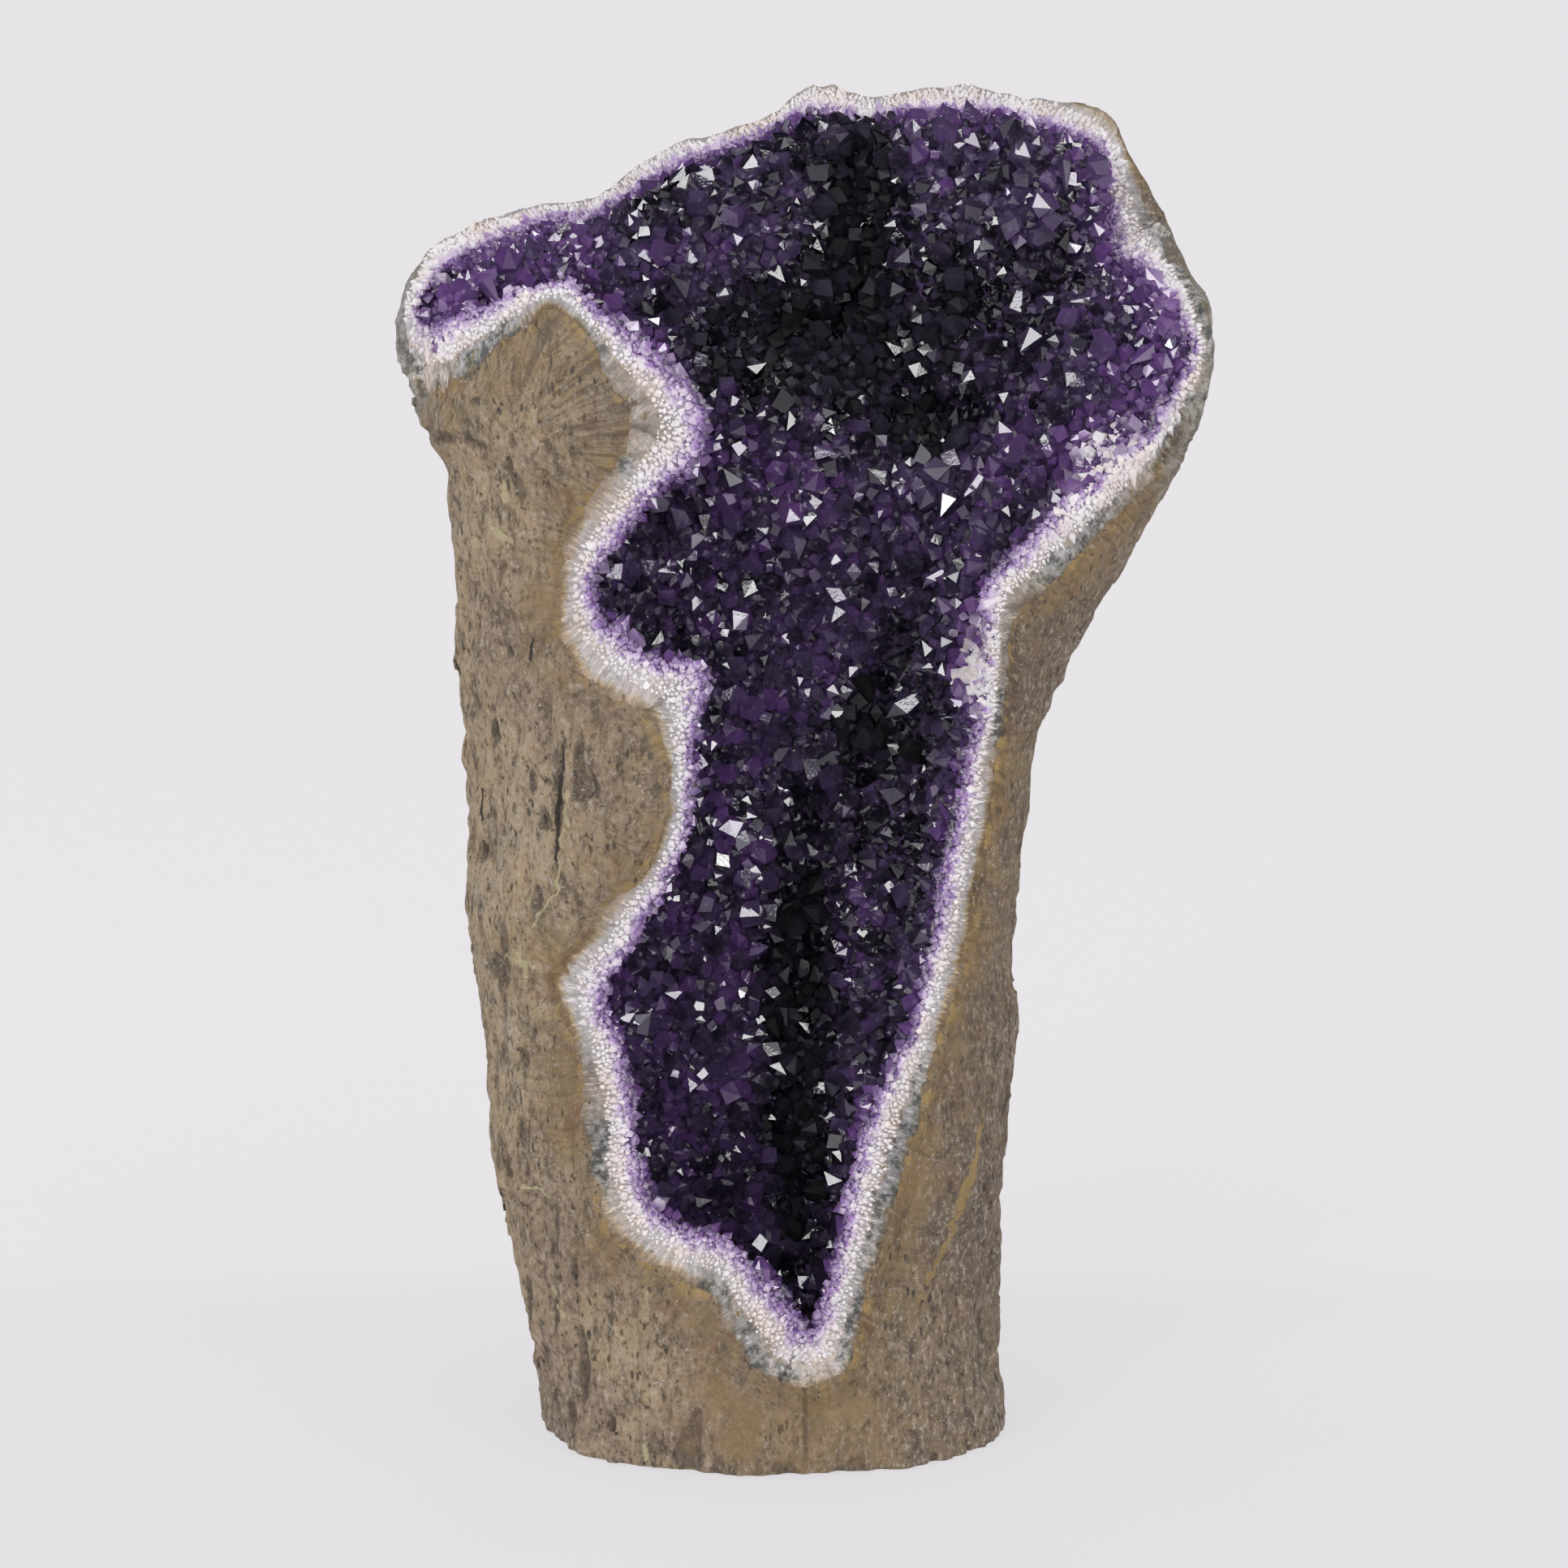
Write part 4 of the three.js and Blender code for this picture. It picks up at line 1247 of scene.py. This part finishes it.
def paper_material():
    n = Nodes("paper")
    colour = n.blend(n.ramp(n.noise(3.0, 2), 0.3, 0.7), srgb(233, 231, 234), srgb(232, 230, 233))
    colour = n.paint(colour, ((236, 234, 237), n.ramp(n.axis("Y"), 0.15, 0.25)))
    return n.finish({
        "Base Color": n.blend(PAPER_GLOW, colour, (0.0, 0.0, 0.0, 1.0)),
        "Roughness": 0.9,
        "Specular IOR Level": 0.0,
        "Emission Color": colour,
        "Emission Strength": PAPER_GLOW,
    })


# Build

def crystal_piece(name, grown, chosen):
    *shape, light, shade = (values[chosen] for values in grown)
    return crystal_mesh(name, *shape, rng, light=light, shade=shade)


rng = np.random.default_rng(SEED)
rocks = rock_pieces(ROCK_STEP)
band, band_points, band_quads, band_share, band_face = band_piece(BAND_STEP)
crust_points, crust_quads = crust_net(CRUST_STEP)
crust = mesh_object("crust", crust_points, crust_quads, True, dark=darkness(crust_points, SHADED_PLACES))

*shape, light, dark = grow_crystals(crust_points, crust_quads, rng)
grown = [*shape, light, rng.random(len(dark))]
# Crystals in the shaded places get the near-black material of painted shade.
in_painted_shade = rng.random(len(dark)) < dark * PAINTED_SHADE_SHARE
is_milky = ~in_painted_shade & (light > MILKY_LIGHT)
clear = np.flatnonzero(~in_painted_shade & ~is_milky)
shade_crystals = crystal_piece("crystals_painted_shade", grown, in_painted_shade)
milky_crystals = crystal_piece("crystals_milky", grown, is_milky)
clear_crystals = [crystal_piece(f"crystals_{i + 1}", grown, clear[i::3]) for i in range(3)]

sugar = [*grow_sugar(band_points, band_quads, band_share, band_face, rng)]
sugar.append(rng.random(len(sugar[0])))
sugars = [crystal_piece(f"sugar_{i + 1}", sugar, slice(i, None, 2)) for i in range(2)]

milky = milky_material()
for pieces, material, node, slot in (
    (rocks, rock_material(), "basalt_shell", "basalt"),
    ([band], band_material(), "chalcedony_lining", "chalcedony"),
    ([crust], crust_material(), "amethyst_crust", "amethyst"),
    (sugars, milky, "chalcedony_lining", "chalcedony"),
    ([shade_crystals], painted_shade_material(), "amethyst_crust", "amethyst"),
    ([milky_crystals], milky, "amethyst_crust", "amethyst"),
    (clear_crystals, crystal_material(), "amethyst_crust", "amethyst"),
):
    for piece in pieces:
        piece.data.materials.append(material)
        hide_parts(node)
        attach(piece, "root")


# Floor, light and camera

floor_corners = [(-FLOOR, -FLOOR, 0), (FLOOR, -FLOOR, 0), (FLOOR, FLOOR, 0), (-FLOOR, FLOOR, 0)]
floor = mesh_object("ground", np.array(floor_corners), np.array([[0, 1, 2, 3]]), False)
floor.data.materials.append(paper_material())

world = bpy.data.worlds.new("studio")
bpy.context.scene.world = world
world.use_nodes = True
sky = world.node_tree.nodes["Background"].inputs
sky["Color"].default_value = (1.0, 0.99, 1.0, 1.0)
sky["Strength"].default_value = 0.78
world.cycles_visibility.glossy = False


def softbox(name, place, side, radiance, on_matt):
    """A square lamp that faces the geode. Where on_matt is false it only shows as a reflection."""
    light = bpy.data.lights.new(name, "AREA")
    light.size = side
    light.energy = radiance * math.pi * side ** 2
    lamp = bpy.data.objects.new(name, light)
    bpy.context.scene.collection.objects.link(lamp)
    lamp.location = place
    lamp.visible_diffuse = on_matt
    facing = [a - b for a, b in zip(LAMPS_FACE, place)]
    flat = math.hypot(facing[0], facing[1])
    lamp.rotation_euler = (math.atan2(flat, -facing[2]), 0, math.atan2(facing[1], facing[0]) - math.pi / 2)


softbox("key", (-2.0, -2.7, 1.8), 1.1, 7.0, True)
softbox("fill", (2.5, -2.3, 0.9), 1.8, 0.9, True)
softbox("veil", (0.3, -4.6, 2.3), 5.0, 0.3, False)
softbox("broad_left", (-2.6, -1.9, 1.7), 1.7, 1.1, False)
softbox("broad_right", (2.3, -2.5, 2.0), 2.0, 2.0, False)
softbox("broad_front", (-0.3, -3.4, 1.3), 1.7, 1.3, False)
softbox("glint_front", (0.5, -3.3, 0.45), 1.2, 10.0, False)
softbox("glint_left", (-1.2, -3.0, 0.8), 1.0, 9.0, False)
softbox("glint_right", (1.3, -3.0, 1.1), 1.4, 9.0, False)
softbox("glint_top", (0.1, -1.5, 2.9), 1.3, 9.0, False)
softbox("glint_side", (2.9, -0.6, 1.0), 1.1, 9.0, False)

camera = bpy.data.cameras.new("camera")
camera.sensor_width = SENSOR
camera.lens = SENSOR * PIXELS_PER_UNIT / IMAGE_SIDE
camera.clip_end = 200
eye = bpy.data.objects.new("camera", camera)
bpy.context.scene.collection.objects.link(eye)
rise = math.radians(CAMERA_RISE)
away, up = CAMERA_AWAY * math.cos(rise), CAMERA_AWAY * math.sin(rise)
eye.location = (LOOK_AT[0] * MM, -away * MM, (LOOK_AT[2] + up) * MM)
eye.rotation_euler = (math.pi / 2 - rise, 0, 0)
bpy.context.scene.camera = eye
bpy.context.scene.view_settings.view_transform = "Standard"
